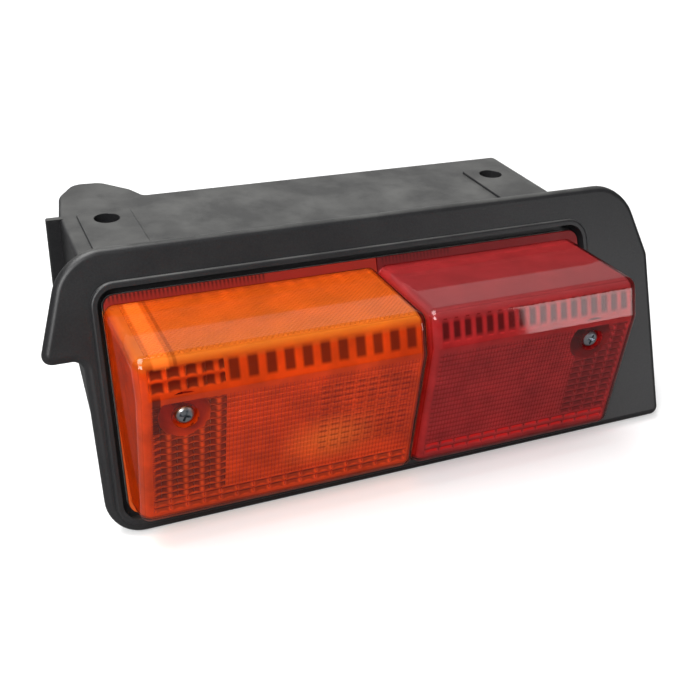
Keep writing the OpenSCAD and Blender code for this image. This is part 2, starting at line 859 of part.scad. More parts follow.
module indicator_contact_disc() {
    color("#6b4a2b") contact_disc(amber_bulb_x);
}

module stop_contact_disc() {
    color("#6b4a2b") contact_disc(red_bulb_x);
}

// Coil spring between the disc and the socket's floor
spring_sides = 6;
spring_steps = 12;

module spring(x) {
    y0 = disc_rear_y + spring_wire_r;
    y1 = socket_rear_y - socket_floor_t - spring_wire_r;
    n = spring_turns * spring_steps;
    points = [
        for (i = [0:n], j = [0:spring_sides - 1])
            let (
                a = i * 360 / spring_steps,
                b = j * 360 / spring_sides,
                r = spring_r + spring_wire_r * cos(b)
            )
            [x + r * cos(a), y0 + (y1 - y0) * i / n + spring_wire_r * sin(b), bulb_z + r * sin(a)]
    ];
    sides = [
        for (i = [0:n - 1], j = [0:spring_sides - 1])
            [
                i * spring_sides + j, i * spring_sides + (j + 1) % spring_sides,
                (i + 1) * spring_sides + (j + 1) % spring_sides, (i + 1) * spring_sides + j
            ]
    ];
    first = [for (j = [spring_sides - 1:-1:0]) j];
    last = [for (j = [0:spring_sides - 1]) n * spring_sides + j];
    polyhedron(points = points, faces = concat([first], sides, [last]), convexity = 6);
}

module indicator_spring() {
    color("silver") spring(amber_bulb_x);
}

module stop_spring() {
    color("silver") spring(red_bulb_x);
}

// Bayonet cap with its two pins, solder contacts and the cup for the glass
module bulb_cap(x, contacts) {
    difference() {
        union() {
            y_bar(x, bulb_z, cap_front_y, cap_rear_y, cap_d / 2, cap_d / 2);
            translate([x - socket_r, pin_y, bulb_z]) rotate([0, 90, 0])
                cylinder(h = 2 * socket_r, r = pin_r, $fn = 24);
            for (c = contacts)
                y_bar(x + c, bulb_z, cap_rear_y - join, cap_rear_y + solder_h, contact_r, contact_tip_r);
        }
        y_bar(x, bulb_z, cap_front_y - 1, cap_front_y + cup_depth, neck_r + clear / 3, neck_r + clear / 3);
    }
}

module indicator_bulb_cap() {
    color("#b5b5b0") bulb_cap(amber_bulb_x, [0]);
}

module stop_bulb_cap() {
    color("#b5b5b0") bulb_cap(red_bulb_x, [-contact_offset, contact_offset]);
}

// Glass envelope: a neck that runs into a ball, open in the cap
function glass_profile(r_ball, r_neck) = let (join_a = asin(r_neck / r_ball)) [
    [r_neck, 0],
    each [for (i = [0:10]) let (a = join_a + (180 - join_a) * i / 10)
        [r_ball * sin(a), glass_rear_y - ball_y - r_ball * cos(a)]]
];

module bulb_glass(x) {
    outer = glass_profile(bulb_d / 2, neck_r);
    inner = glass_profile(bulb_d / 2 - glass_t, neck_r - glass_t);
    translate([x, glass_rear_y, bulb_z]) rotate([90, 0, 0]) rotate_extrude($fn = 48) polygon(concat(
        outer, [for (i = [len(inner) - 1:-1:0]) inner[i]]
    ));
}

module indicator_bulb_glass() {
    color("white", 0.5) bulb_glass(amber_bulb_x);
}

module stop_bulb_glass() {
    color("white", 0.5) bulb_glass(red_bulb_x);
}

// Glass stem, support wires and coiled filaments as one piece
stem_r = 2.6;
stem_len = 11;
wire_r = 0.35;
wire_gap = 3;
coil_over = 1;
coil_r = 1.6 * wire_r;
row_gap = 2;
filament_offset = 1.5;

module filament(x, rows) {
    stem_y = cap_front_y + cup_depth - clear / 3;
    y_bar(x, bulb_z, stem_y - stem_len, stem_y, stem_r, stem_r);
    for (k = [0:len(rows) - 1]) {
        tip_y = ball_y + row_gap * k;
        for (s = [-1, 1])
            translate([x + s * wire_gap / 2 - wire_r, tip_y, bulb_z + rows[k] - wire_r])
                cube([2 * wire_r, stem_y - stem_len + join - tip_y, 2 * wire_r]);
        translate([x - wire_gap / 2 - coil_over, tip_y, bulb_z + rows[k]]) rotate([0, 90, 0])
            cylinder(h = wire_gap + 2 * coil_over, r = coil_r, $fn = 16);
    }
}

module indicator_filament() {
    color("#c8c8c8") filament(amber_bulb_x, [0]);
}

module stop_filament() {
    color("#c8c8c8") filament(red_bulb_x, [-filament_offset, filament_offset]);
}

// Shape of a pan head as shares of its diameter and height, and of its cross recess
head_profile = [[0.5, 0], [0.5, 0.45], [0.46, 0.72], [0.36, 0.92], [0.2, 1], [0, 1]];
cross_len = 0.62;
cross_w = 0.13;
cross_depth = 0.65;
cross_turn = 20;
tip_share = 3;

// Pan head screw along Y with a cross recess
module cross_screw(x, z, seat_y, tip_y, hd, hh, sd) {
    difference() {
        union() {
            translate([x, seat_y, z]) rotate([90, 0, 0]) rotate_extrude($fn = 36)
                polygon(concat([[0, 0]], [for (p = head_profile) [hd * p.x, hh * p.y]]));
            y_bar(x, z, seat_y - join, tip_y - sd, sd / 2, sd / 2);
            y_bar(x, z, tip_y - sd, tip_y, sd / 2, sd / (2 * tip_share));
        }
        for (a = [0, 90])
            translate([x, seat_y - hh, z]) rotate([0, a + cross_turn, 0])
                cube([hd * cross_len, 2 * hh * cross_depth, hd * cross_w], center = true);
    }
}

module amber_lens_screw() {
    color("silver") cross_screw(amber_screw_x, lens_screw_z, head_seat_y, plate_front_y - 2, head_d, head_h, shank_d);
}

module red_lens_screw() {
    color("silver") cross_screw(red_screw_x, lens_screw_z, head_seat_y, plate_front_y - 2, head_d, head_h, shank_d);
}

module base_screws() {
    color("silver") for (x = base_screw_xs, z = base_screw_zs)
        cross_screw(x, z, plate_front_y, web_rear_y + base_boss_len - 1, base_head_d, base_head_h, base_shank_d);
}

// Blade terminal with its foot on the rear of the base plate
module terminal(x, z) {
    translate([x - blade_w / 2, plate_rear_y, z - foot_h / 2]) cube([blade_w, blade_t, foot_h]);
    translate([x - blade_w / 2, plate_rear_y, z - blade_t / 2]) cube([blade_w, blade_len, blade_t]);
}

module indicator_terminal() {
    color("#c9a24a") terminal(amber_bulb_x + socket_flange_r + blade_w, bulb_z + terminal_rise);
}

module tail_terminal() {
    color("#c9a24a") terminal(joint_x, bulb_z + terminal_rise);
}

module stop_terminal() {
    color("#c9a24a") terminal(red_bulb_x - socket_flange_r - blade_w, bulb_z + terminal_rise);
}

// Earth strip between the two sockets, with its own blade
module earth_strip() {
    x0 = amber_bulb_x + socket_flange_r + clear / 3;
    x1 = red_bulb_x - socket_flange_r - clear / 3;
    color("#c9a24a") {
        translate([x0, plate_rear_y, bulb_z - strip_h / 2]) cube([x1 - x0, blade_t, strip_h]);
        translate([joint_x - blade_w / 2, plate_rear_y, bulb_z - blade_t / 2]) cube([blade_w, blade_len, blade_t]);
    }
}

// Rubber grommet in the rear wall, with an open bore for a cable
module cable_grommet() {
    y0 = box_rear - wall - grommet_flange_t;
    y1 = box_rear + grommet_flange_t;
    translate([0, y0, grommet_z]) rotate([-90, 0, 0]) color("#1b1b1b") rotate_extrude($fn = 48) polygon([
        [grommet_bore_d / 2, 0],
        [grommet_flange_d / 2 - grommet_chamfer, 0],
        [grommet_flange_d / 2, grommet_chamfer],
        [grommet_flange_d / 2, grommet_flange_t],
        [grommet_neck_d / 2 - clear / 3, grommet_flange_t],
        [grommet_neck_d / 2 - clear / 3, grommet_flange_t + wall],
        [grommet_flange_d / 2, grommet_flange_t + wall],
        [grommet_flange_d / 2, y1 - y0 - grommet_chamfer],
        [grommet_flange_d / 2 - grommet_chamfer, y1 - y0],
        [grommet_bore_d / 2, y1 - y0]
    ]);
}

housing();
lamp_base();
amber_lens();
red_lens();
amber_lens_seal();
red_lens_seal();
amber_reflector();
red_reflector();
indicator_socket();
stop_socket();
indicator_contact_disc();
stop_contact_disc();
indicator_spring();
stop_spring();
indicator_bulb_cap();
stop_bulb_cap();
indicator_bulb_glass();
stop_bulb_glass();
indicator_filament();
stop_filament();
amber_lens_screw();
red_lens_screw();
base_screws();
indicator_terminal();
stop_terminal();
tail_terminal();
earth_strip();
cable_grommet();
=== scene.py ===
"""Looks of a tractor's tail light cluster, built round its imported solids.

The housing and both lenses are modelled here at a finer grain than the solids that they
stand for. The pieces inside the lamp keep their solids and get detailed finishes.
Sizes are in millimetres and become metres where they meet a mesh.
"""

import json
import logging
import math
from contextlib import contextmanager
from dataclasses import dataclass, field, replace
from enum import Enum
from typing import Callable, Iterator, Mapping

import bmesh
import bpy
from mathutils import Matrix, Vector


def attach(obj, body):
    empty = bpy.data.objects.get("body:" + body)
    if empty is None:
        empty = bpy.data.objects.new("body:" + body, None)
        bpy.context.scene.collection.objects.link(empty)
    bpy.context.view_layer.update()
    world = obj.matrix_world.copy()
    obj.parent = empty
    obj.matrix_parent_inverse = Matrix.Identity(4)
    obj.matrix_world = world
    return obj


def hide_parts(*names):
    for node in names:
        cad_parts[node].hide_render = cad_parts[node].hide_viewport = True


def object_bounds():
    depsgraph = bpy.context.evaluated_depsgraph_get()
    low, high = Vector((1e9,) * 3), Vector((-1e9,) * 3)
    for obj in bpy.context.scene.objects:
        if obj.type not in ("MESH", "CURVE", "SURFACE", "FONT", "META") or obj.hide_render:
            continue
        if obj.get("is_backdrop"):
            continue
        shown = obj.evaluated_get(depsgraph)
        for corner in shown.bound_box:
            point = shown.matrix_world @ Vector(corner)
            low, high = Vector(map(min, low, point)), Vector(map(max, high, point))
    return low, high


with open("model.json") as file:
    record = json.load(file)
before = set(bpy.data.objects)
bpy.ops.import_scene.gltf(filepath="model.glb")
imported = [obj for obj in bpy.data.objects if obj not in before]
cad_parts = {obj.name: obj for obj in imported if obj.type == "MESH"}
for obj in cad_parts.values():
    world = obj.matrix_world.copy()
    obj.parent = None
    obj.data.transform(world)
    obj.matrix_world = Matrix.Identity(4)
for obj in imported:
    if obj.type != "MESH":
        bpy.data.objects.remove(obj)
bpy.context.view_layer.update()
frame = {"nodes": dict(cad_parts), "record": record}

LOG = logging.getLogger("tail_light")
MM = 0.001
NEAR = 0.02 * MM
FORWARD = Vector((0, -1, 0))
Color = tuple[float, float, float]
Corner = tuple[float, float, float]
Piece = bpy.types.Object
Material = bpy.types.Material
NodeTree = bpy.types.NodeTree
Node = bpy.types.Node
Socket = bpy.types.NodeSocket
Sockets = Mapping[str, Socket]
Edge = bmesh.types.BMEdge
Face = bmesh.types.BMFace
Vert = bmesh.types.BMVert
WHITE: Color = (1.0, 1.0, 1.0)


def mm(x: float, y: float, z: float) -> Vector:
    """Returns a point or a length given in millimetres as metres."""
    return Vector((x, y, z)) * MM


# Modelling by operators


class Pick(Enum):
    """What a selection takes."""

    VERTS = "VERT"
    EDGES = "EDGE"
    FACES = "FACE"


def select_only(piece: Piece) -> None:
    """Selects one object and makes it the active one."""
    bpy.ops.object.select_all(action="DESELECT")
    piece.select_set(True)
    bpy.context.view_layer.objects.active = piece


@contextmanager
def editing(piece: Piece) -> Iterator[Piece]:
    """Opens a piece in edit mode with nothing selected, and closes it again.

    Args:
        piece: The piece.

    Yields:
        The piece.
    """
    select_only(piece)
    bpy.ops.object.mode_set(mode="EDIT")
    bpy.ops.mesh.select_all(action="DESELECT")
    yield piece
    bpy.ops.object.mode_set(mode="OBJECT")


def pick(piece: Piece, kind: Pick, test: Callable[..., bool]) -> None:
    """Selects the parts of a mesh in edit mode that pass a test.

    Args:
        piece: The object, in edit mode.
        kind: Vertices, edges or faces.
        test: Says whether one vertex, edge or face is taken.
    """
    bpy.ops.mesh.select_mode(type=kind.value)
    bpy.ops.mesh.select_all(action="DESELECT")
    mesh = bmesh.from_edit_mesh(piece.data)
    for part in {Pick.VERTS: mesh.verts, Pick.EDGES: mesh.edges, Pick.FACES: mesh.faces}[kind]:
        if test(part):
            part.select_set(True)
    mesh.select_flush_mode()
    bmesh.update_edit_mesh(piece.data)


def settle(piece: Piece) -> None:
    """Puts an object's place, turn and size into its mesh."""
    select_only(piece)
    bpy.ops.object.transform_apply(location=True, rotation=True, scale=True)


def shape(piece: Piece, kind: str, **values: object) -> None:
    """Adds a modifier to a piece and applies it.

    Args:
        piece: The piece.
        kind: Type of the modifier.
        values: Its settings by name.
    """
    modifier = piece.modifiers.new(kind.title(), kind)
    for name, value in values.items():
        setattr(modifier, name, value)
    select_only(piece)
    bpy.ops.object.modifier_apply(modifier=modifier.name)


def combine(piece: Piece, tool: Piece, operation: str) -> None:
    """Joins, cuts or crosses a piece with a tool, which is used up."""
    shape(piece, "BOOLEAN", object=tool, operation=operation, solver="MANIFOLD")
    bpy.data.objects.remove(tool, do_unlink=True)


def smooth(piece: Piece, degrees: float = 28.0) -> None:
    """Shades a piece smooth where its faces meet at less than an angle, with its large faces kept flat."""
    select_only(piece)
    bpy.ops.object.shade_smooth_by_angle(angle=math.radians(degrees))
    shape(piece, "WEIGHTED_NORMAL", mode="FACE_AREA", weight=100, keep_sharp=True)


def start(name: str, primitive: Callable[..., set[str]], **values: object) -> Piece:
    """Starts a piece from a primitive, with nothing else selected.

    Args:
        name: The object's name.
        primitive: The operator that adds the primitive.
        values: The primitive's size, place and turn.

    Returns:
        The new object.
    """
    bpy.ops.object.select_all(action="DESELECT")
    primitive(**values)
    piece = bpy.context.object
    piece.name = name
    return piece


def block(name: str, low: Vector, high: Vector) -> Piece:
    """Models a box, as the start of a piece.

    Args:
        name: The object's name.
        low: Its lowest corner, in metres.
        high: Its highest corner, in metres.

    Returns:
        The box.
    """
    piece = start(name, bpy.ops.mesh.primitive_cube_add, size=1, location=(low + high) / 2)
    piece.scale = high - low
    settle(piece)
    return piece


def bar(name: str, at: Vector, length: float, front_r: float, rear_r: float, sides: int = 48) -> Piece:
    """Models a round bar or cone that runs from a point towards the rear.

    Args:
        name: The object's name.
        at: Middle of the front end, in metres.
        length: Length in millimetres.
        front_r: Radius of the front end in millimetres.
        rear_r: Radius of the rear end in millimetres.
        sides: Faces around the bar.

    Returns:
        The bar.
    """
    piece = start(
        name, bpy.ops.mesh.primitive_cone_add, vertices=sides, radius1=front_r * MM, radius2=rear_r * MM,
        depth=length * MM, location=at + mm(0, length / 2, 0), rotation=(-math.pi / 2, 0, 0),
    )
    settle(piece)
    return piece


def cut(point: Vector, normal: Vector, clear: bool = False) -> None:
    """Cuts what is selected in edit mode by a plane, and may take off and close what lies beyond it."""
    bpy.ops.mesh.bisect(plane_co=point, plane_no=normal, use_fill=clear, clear_outer=clear, threshold=1e-6)


def trim(piece: Piece, point: Vector, normal: Vector) -> None:
    """Takes off everything beyond a plane."""
    with editing(piece):
        bpy.ops.mesh.select_all(action="SELECT")
        cut(point, normal, clear=True)


def round_picked(radius: float, steps: int, affect: str = "EDGES") -> None:
    """Rounds what is selected in edit mode by a radius in millimetres."""
    bpy.ops.mesh.bevel(offset=radius * MM, segments=steps, affect=affect, profile=0.5, clamp_overlap=False)


def plate(name: str, corners: list[Corner], near: float, far: float, arc: int = 10) -> Piece:
    """Builds a plate with rounded corners: an outline in X and Z, raised along Y.

    Args:
        name: The object's name.
        corners: X, Z and radius of each corner, in millimetres.
        near: Front face along Y, in millimetres.
        far: Rear face along Y, in millimetres.
        arc: Steps along one rounded corner.

    Returns:
        The plate, as a closed mesh.
    """
    piece = start(
        name, bpy.ops.mesh.primitive_circle_add, vertices=len(corners), radius=MM, fill_type="NGON",
    )
    places = [mm(x, near, z) for x, z, _ in corners]
    with editing(piece):
        for i, place in enumerate(places):
            pick(piece, Pick.VERTS, lambda v, i=i: v.index == i)
            here = bmesh.from_edit_mesh(piece.data).verts
            here.ensure_lookup_table()
            bpy.ops.transform.translate(value=place - here[i].co)
        for i, (place, (_, _, radius)) in enumerate(zip(places, corners)):
            if radius <= 0:
                continue
            before = (places[i - 1] - place).normalized()
            after = (places[(i + 1) % len(places)] - place).normalized()
            pick(piece, Pick.VERTS, lambda v, p=place: (v.co - p).length < NEAR)
            round_picked(radius / math.tan(before.angle(after) / 2), arc, "VERTICES")
        bpy.ops.mesh.select_mode(type="FACE")
        bpy.ops.mesh.select_all(action="SELECT")
        bpy.ops.mesh.extrude_region_move(TRANSFORM_OT_translate={"value": mm(0, far - near, 0)})
        bpy.ops.mesh.select_all(action="SELECT")
        bpy.ops.mesh.normals_make_consistent(inside=False)
    return piece


def roll_edge(piece: Piece, along: Vector, radius: float, steps: int) -> None:
    """Rounds the outline of the flat end that faces a direction.

    Args:
        piece: A plate.
        along: Direction that the end faces.
        radius: Radius of the round in millimetres.
        steps: Steps of the round.
    """
    def on_end(edge: Edge) -> bool:
        """Says whether an edge borders the end."""
        facing = [f.normal.dot(along) > 0.999 for f in edge.link_faces]
        return any(facing) and not all(facing)

    with editing(piece):
        pick(piece, Pick.EDGES, on_end)
        round_picked(radius, steps)


def inset_corners(corners: list[Corner], distance: float) -> list[Corner]:
    """Moves an outline inwards by a distance, with its radii kept true.

    Args:
        corners: X, Z and radius of each corner of an outline that runs anticlockwise.
        distance: How far each side moves in, in millimetres.

    Returns:
        The moved corners.
    """
    least_radius = 0.05
    moved = []
    for i, (x, z, radius) in enumerate(corners):
        here = Vector((x, z))
        before = Vector(corners[i - 1][:2]) - here
        after = Vector(corners[(i + 1) % len(corners)][:2]) - here
        inwards = distance if after.cross(before) > 0 else -distance
        half = before.angle(after) / 2
        place = here + (before.normalized() + after.normalized()).normalized() * inwards / math.sin(half)
        moved.append((place.x, place.y, max(least_radius, radius - inwards)))
    return moved


# Finishes


class Tree:
    """A node tree with short calls for adding and joining its nodes."""

    def __init__(self, tree: NodeTree) -> None:
        """Keeps the tree that the calls work on."""
        self.tree = tree

    def feed(self, target: Socket, value: Socket | float | Color) -> None:
        """Joins an output to an input, or gives the input a value.

        Args:
            target: The input.
            value: An output, a number, a direction or a colour.
        """
        if isinstance(value, Socket):
            self.tree.links.new(value, target)
        else:
            target.default_value = (*value, 1.0) if target.type == "RGBA" else value

    def fill(self, node: Node, **values: object) -> None:
        """Feeds each value to the input of its name, or sets the property of that name.

        Args:
            node: The node.
            values: Values by name, with a low line for each space.
        """
        for name, value in values.items():
            label = name.replace("_", " ")
            if label in node.inputs:
                self.feed(node.inputs[label], value)
            else:
                setattr(node, name, value)

    def add(self, kind: str, **values: object) -> Node:
        """Adds a node and fills it with values."""
        node = self.tree.nodes.new(kind)
        self.fill(node, **values)
        return node

    def place(self, group: NodeTree, **values: float) -> Sockets:
        """Places a node group with its own values and returns its outputs."""
        return self.add("ShaderNodeGroup", node_tree=group, **values).outputs

    def coordinates(self, kind: str = "Object") -> Socket:
        """Returns the place of the shaded point, or another of its coordinates."""
        return self.add("ShaderNodeTexCoord").outputs[kind]

    def axes(self, vector: Socket) -> Sockets:
        """Returns the X, Y and Z of a vector, by name."""
        return self.add("ShaderNodeSeparateXYZ", Vector=vector).outputs

    def math(self, operation: str, *values: Socket | float, clamp: bool = False) -> Socket:
        """Adds a calculation.

        Args:
            operation: Its name.
            values: What it takes, in order.
            clamp: Whether its result is kept from 0 to 1.

        Returns:
            Its result.
        """
        node = self.add("ShaderNodeMath", operation=operation, use_clamp=clamp)
        for target, value in zip(node.inputs, values):
            self.feed(target, value)
        return node.outputs[0]

    def noise(self, vector: Socket, scale: Socket | float, detail: float, rough: float) -> Socket:
        """Returns a soft random value that changes over a vector."""
        node = self.add("ShaderNodeTexNoise", Vector=vector, Scale=scale, Detail=detail, Roughness=rough)
        return node.outputs["Fac"]

    def ramp(self, source: Socket, stops: tuple[tuple[float, Color], ...]) -> Socket:
        """Turns a value into a colour.

        Args:
            source: The value.
            stops: The value and colour of each of two stops.

        Returns:
            The colour.
        """
        node = self.add("ShaderNodeValToRGB", Fac=source)
        for element, (place, color) in zip(node.color_ramp.elements, stops):
            element.position = place
            element.color = (*color, 1.0)
        return node.outputs["Color"]

    def between(self, source: Socket, low: float, high: float, new_low: float, new_high: float) -> Socket:
        """Maps a value from one range to another.

        Args:
            source: The value.
            low: Start of its range.
            high: End of its range.
            new_low: Start of the new range.
            new_high: End of the new range.

        Returns:
            The mapped value.
        """
        node = self.add("ShaderNodeMapRange")
        for target, value in zip(node.inputs, (source, low, high, new_low, new_high)):
            self.feed(target, value)
        return node.outputs["Result"]

    def blend(self, mask: Socket, first: Socket | Color, second: Socket | Color) -> Socket:
        """Mixes two colours.

        Args:
            mask: 0 for the first colour, 1 for the second.
            first: A colour, or an output that gives one.
            second: The other colour.

        Returns:
            The mixed colour.
        """
        node = self.add("ShaderNodeMix", data_type="RGBA")
        colors = [s for s in node.inputs if s.type == "RGBA"]
        for target, value in zip((node.inputs[0], *colors), (mask, first, second)):
            self.feed(target, value)
        return next(s for s in node.outputs if s.type == "RGBA")


def new_group(
    name: str, inputs: dict[str, float], outputs: dict[str, str],
) -> tuple[Tree, Sockets, Sockets]:
    """Starts a shader node group.

    Args:
        name: The group's name.
        inputs: Name and default of each number that goes in.
        outputs: Name and socket type of each output.

    Returns:
        The group's tree, the values that go in and the sockets that give its results.
    """
    group = bpy.data.node_groups.new(name, "ShaderNodeTree")
    for label, value in inputs.items():
        group.interface.new_socket(label, in_out="INPUT", socket_type="NodeSocketFloat").default_value = value
    for label, kind in outputs.items():
        group.interface.new_socket(label, in_out="OUTPUT", socket_type=kind)
    tree = Tree(group)
    return tree, tree.add("NodeGroupInput").outputs, tree.add("NodeGroupOutput").inputs


def grain_group() -> NodeTree:
    """Builds the fine grain of a moulded surface: a normal and a value that follows it."""
    tree, given, result = new_group(
        "moulded_grain", {"Size": 0.6, "Depth": 0.1},
        {"Normal": "NodeSocketVector", "Value": "NodeSocketFloat"},
    )
    value = tree.noise(tree.coordinates(), tree.math("DIVIDE", 1 / MM, given["Size"]), 3.0, 0.6)
    bump = tree.add("ShaderNodeBump", Distance=0.1 * MM, Strength=given["Depth"], Height=value)
    tree.feed(result["Normal"], bump.outputs["Normal"])
    tree.feed(result["Value"], value)
    return tree.tree


def scuff_group() -> NodeTree:
    """Builds the wear of a handled surface: thin scratches and soft dusty patches."""
    tree, given, result = new_group(
        "scuffs", {"Scratches": 0.4, "Dust": 0.5}, {"Scratch": "NodeSocketFloat", "Dust": "NodeSocketFloat"},
    )
    place = tree.coordinates()
    drawn = tree.add(
        "ShaderNodeMapping", Vector=place, Scale=(90.0, 900.0, 500.0), Rotation=(0.1, 0.2, 0.35),
    ).outputs["Vector"]
    thin = tree.between(tree.noise(drawn, 1.0, 4.0, 0.75), 0.64, 0.72, 0.0, 1.0)
    patch = tree.between(tree.noise(place, 22.0, 2.0, 0.5), 0.45, 0.7, 0.0, 1.0)
    scratch = tree.math("MULTIPLY", tree.math("MULTIPLY", thin, patch), given["Scratches"], clamp=True)
    cloud = tree.between(tree.noise(place, 38.0, 7.0, 0.62), 0.42, 0.78, 0.0, 1.0)
    tree.feed(result["Scratch"], scratch)
    tree.feed(result["Dust"], tree.math("MULTIPLY", cloud, given["Dust"], clamp=True))
    return tree.tree


def phase(tree: Tree, value: Socket, first: Socket, pitch: Socket) -> Socket:
    """Returns how far a value lies into its step of a row of equal steps, from 0 to 1."""
    return tree.math("FRACT", tree.math("DIVIDE", tree.math("SUBTRACT", value, first), pitch))


def cells_group() -> NodeTree:
    """Builds the mask for the painted shade and painted light in a field of prisms: one soft bar in each
    cell, none outside the field.
    """
    tree, given, result = new_group(
        "prism_cells",
        {"Left": 0.0, "Right": 1.0, "Low": 0.0, "High": 1.0, "Wide": 1.0, "Tall": 1.0,
         "Margin X": 0.1, "Margin Z": 0.3, "Soft": 0.1, "Curve": 0.0},
        {"Mask": "NodeSocketFloat"},
    )
    size = tree.add("ShaderNodeVectorMath", operation="SCALE", Scale=1 / MM)
    tree.feed(size.inputs[0], tree.coordinates())
    apart = tree.axes(size.outputs["Vector"])
    # Both ends of a dash bend down by this much of the square of their distance from its middle
    off = tree.math("SUBTRACT", phase(tree, apart["X"], given["Left"], given["Wide"]), 0.5)
    fall = tree.math("MULTIPLY", given["Curve"], 4.0)
    bent = tree.math("MULTIPLY_ADD", tree.math("MULTIPLY", off, off), fall, apart["Z"])
    mask: Socket | float = 1.0
    for axis, run, low, high, pitch, margin in (
        ("X", apart["X"], "Left", "Right", "Wide", "Margin X"),
        ("Z", bent, "Low", "High", "Tall", "Margin Z"),
    ):
        away = tree.math("ABSOLUTE", tree.math("SUBTRACT", phase(tree, run, given[low], given[pitch]), 0.5))
        inner = tree.math("SUBTRACT", 0.5, tree.math("ADD", away, given[margin]))
        for part in (
            tree.math("DIVIDE", inner, given["Soft"], clamp=True),
            tree.math("GREATER_THAN", apart[axis], given[low]),
            tree.math("LESS_THAN", apart[axis], given[high]),
        ):
            mask = tree.math("MULTIPLY", mask, part)
    tree.feed(result["Mask"], mask)
    return tree.tree


@dataclass(frozen=True)
class Effects:
    """The node groups that several finishes share, built once."""

    grain: NodeTree = field(default_factory=grain_group)
    scuffs: NodeTree = field(default_factory=scuff_group)
    cells: NodeTree = field(default_factory=cells_group)


def new_material(name: str) -> tuple[Material, Tree, Node]:
    """Starts a material.

    Args:
        name: Its name.

    Returns:
        The material, the calls for its nodes and its surface shader.
    """
    material = bpy.data.materials.new(name)
    material.use_nodes = True
    shader = next(n for n in material.node_tree.nodes if n.type == "BSDF_PRINCIPLED")
    return material, Tree(material.node_tree), shader


def tint_shadow(tree: Tree, shader: Node, tint: Color) -> None:
    """Lets tinted light through a clear piece, so that it casts a coloured shadow.

    Args:
        tree: The material's nodes.
        shader: Its surface shader.
        tint: Colour of the light that comes through.
    """
    end = next(n for n in tree.tree.nodes if n.type == "OUTPUT_MATERIAL")
    through = tree.add("ShaderNodeBsdfTransparent", Color=tint)
    mixed = tree.add("ShaderNodeMixShader", Fac=tree.add("ShaderNodeLightPath").outputs["Is Shadow Ray"])
    tree.feed(mixed.inputs[1], shader.outputs["BSDF"])
    tree.feed(mixed.inputs[2], through.outputs["BSDF"])
    tree.feed(end.inputs["Surface"], mixed.outputs["Shader"])


@dataclass(frozen=True)
class MouldedFinish:
    """Opaque moulded plastic or rubber with a grain, dust and scratches, and a painted sheen on faces that
    look up.
    """

    name: str
    dark: Color
    light: Color
    rough: float = 0.45
    rough_spread: float = 0.12
    grain: float = 0.6
    depth: float = 0.12
    scratches: float = 0.4
    dust: float = 0.4
    # Colour of the dust and scratches, and of the painted sheen on faces that look up
    dust_and_sheen_color: Color = (0.3, 0.3, 0.28)
    specular: float = 0.5
    top_sheen: float = 0.0

    def build(self, effects: Effects) -> Material:
        """Builds the material.

        Args:
            effects: The shared node groups.

        Returns:
            The material.
        """
        material, tree, shader = new_material(self.name)
        grain = tree.place(effects.grain, Size=self.grain, Depth=self.depth)
        wear = tree.place(effects.scuffs, Scratches=self.scratches, Dust=self.dust)
        color = tree.ramp(grain["Value"], ((0.3, self.dark), (0.7, self.light)))
        color = tree.blend(tree.between(wear["Dust"], 0.0, 1.0, 0.0, 0.35), color, self.dust_and_sheen_color)
        color = tree.blend(tree.between(wear["Scratch"], 0.0, 1.0, 0.0, 0.5), color, self.dust_and_sheen_color)
        # Painted sheen: faces that look up are lightened in mottled patches towards the dust colour, standing
        # in for the light from above that they catch
        if self.top_sheen > 0:
            facing = tree.between(tree.axes(tree.coordinates("Normal"))["Z"], 0.75, 1.0, 0.0, self.top_sheen)
            cloud = tree.place(effects.scuffs, Scratches=0.0, Dust=1.0)["Dust"]
            painted_top_sheen = tree.math("MULTIPLY", facing, tree.between(cloud, 0.0, 0.8, 0.7, 1.6), clamp=True)
            color = tree.blend(painted_top_sheen, color, self.dust_and_sheen_color)
        smooth_end, rough_end = self.rough - self.rough_spread / 2, self.rough + self.rough_spread
        tree.fill(
            shader, Base_Color=color, Roughness=tree.between(wear["Dust"], 0.0, 0.6, smooth_end, rough_end),
            Normal=grain["Normal"], Specular_IOR_Level=self.specular,
        )
        return material


@dataclass(frozen=True)
class ClearFinish:
    """Transparent moulded plastic or glass, with faint dust and flow marks."""

    name: str
    color: Color
    shadow: Color
    rough: float = 0.05
    ior: float = 1.49
    dust: float = 0.3
    flow: float = 0.03

    def build(self, effects: Effects) -> Material:
        """Builds the material.

        Args:
            effects: The shared node groups.

        Returns:
            The material.
        """
        material, tree, shader = new_material(self.name)
        wear = tree.place(effects.scuffs, Scratches=0.3, Dust=self.dust)
        haze = tuple(min(1.0, c * 0.8 + 0.08) for c in self.color)
        tree.fill(
            shader, Base_Color=tree.blend(tree.between(wear["Dust"], 0.0, 1.0, 0.0, 0.25), self.color, haze),
            Roughness=tree.between(wear["Scratch"], 0.0, 0.4, self.rough, self.rough + 0.1),
            Normal=tree.place(effects.grain, Size=9.0, Depth=self.flow)["Normal"],
            Transmission_Weight=1.0, IOR=self.ior,
        )
        tint_shadow(tree, shader, self.shadow)
        return material


@dataclass(frozen=True)
class Area:
    """A rectangle on a lens, in millimetres: X across and Z up."""

    left: float
    right: float
    low: float
    high: float


@dataclass(frozen=True)
class Dashes:
    """Painted shade in the cells of a field of prisms, or painted light where lit, in millimetres, with
    margins in parts of a cell.
    """

    area: Area
    wide: float
    tall: float
    margin_x: float
    margin_z: float
    strength: float
    soft: float = 0.1
    curve: float = 0.0
    lit: bool = False


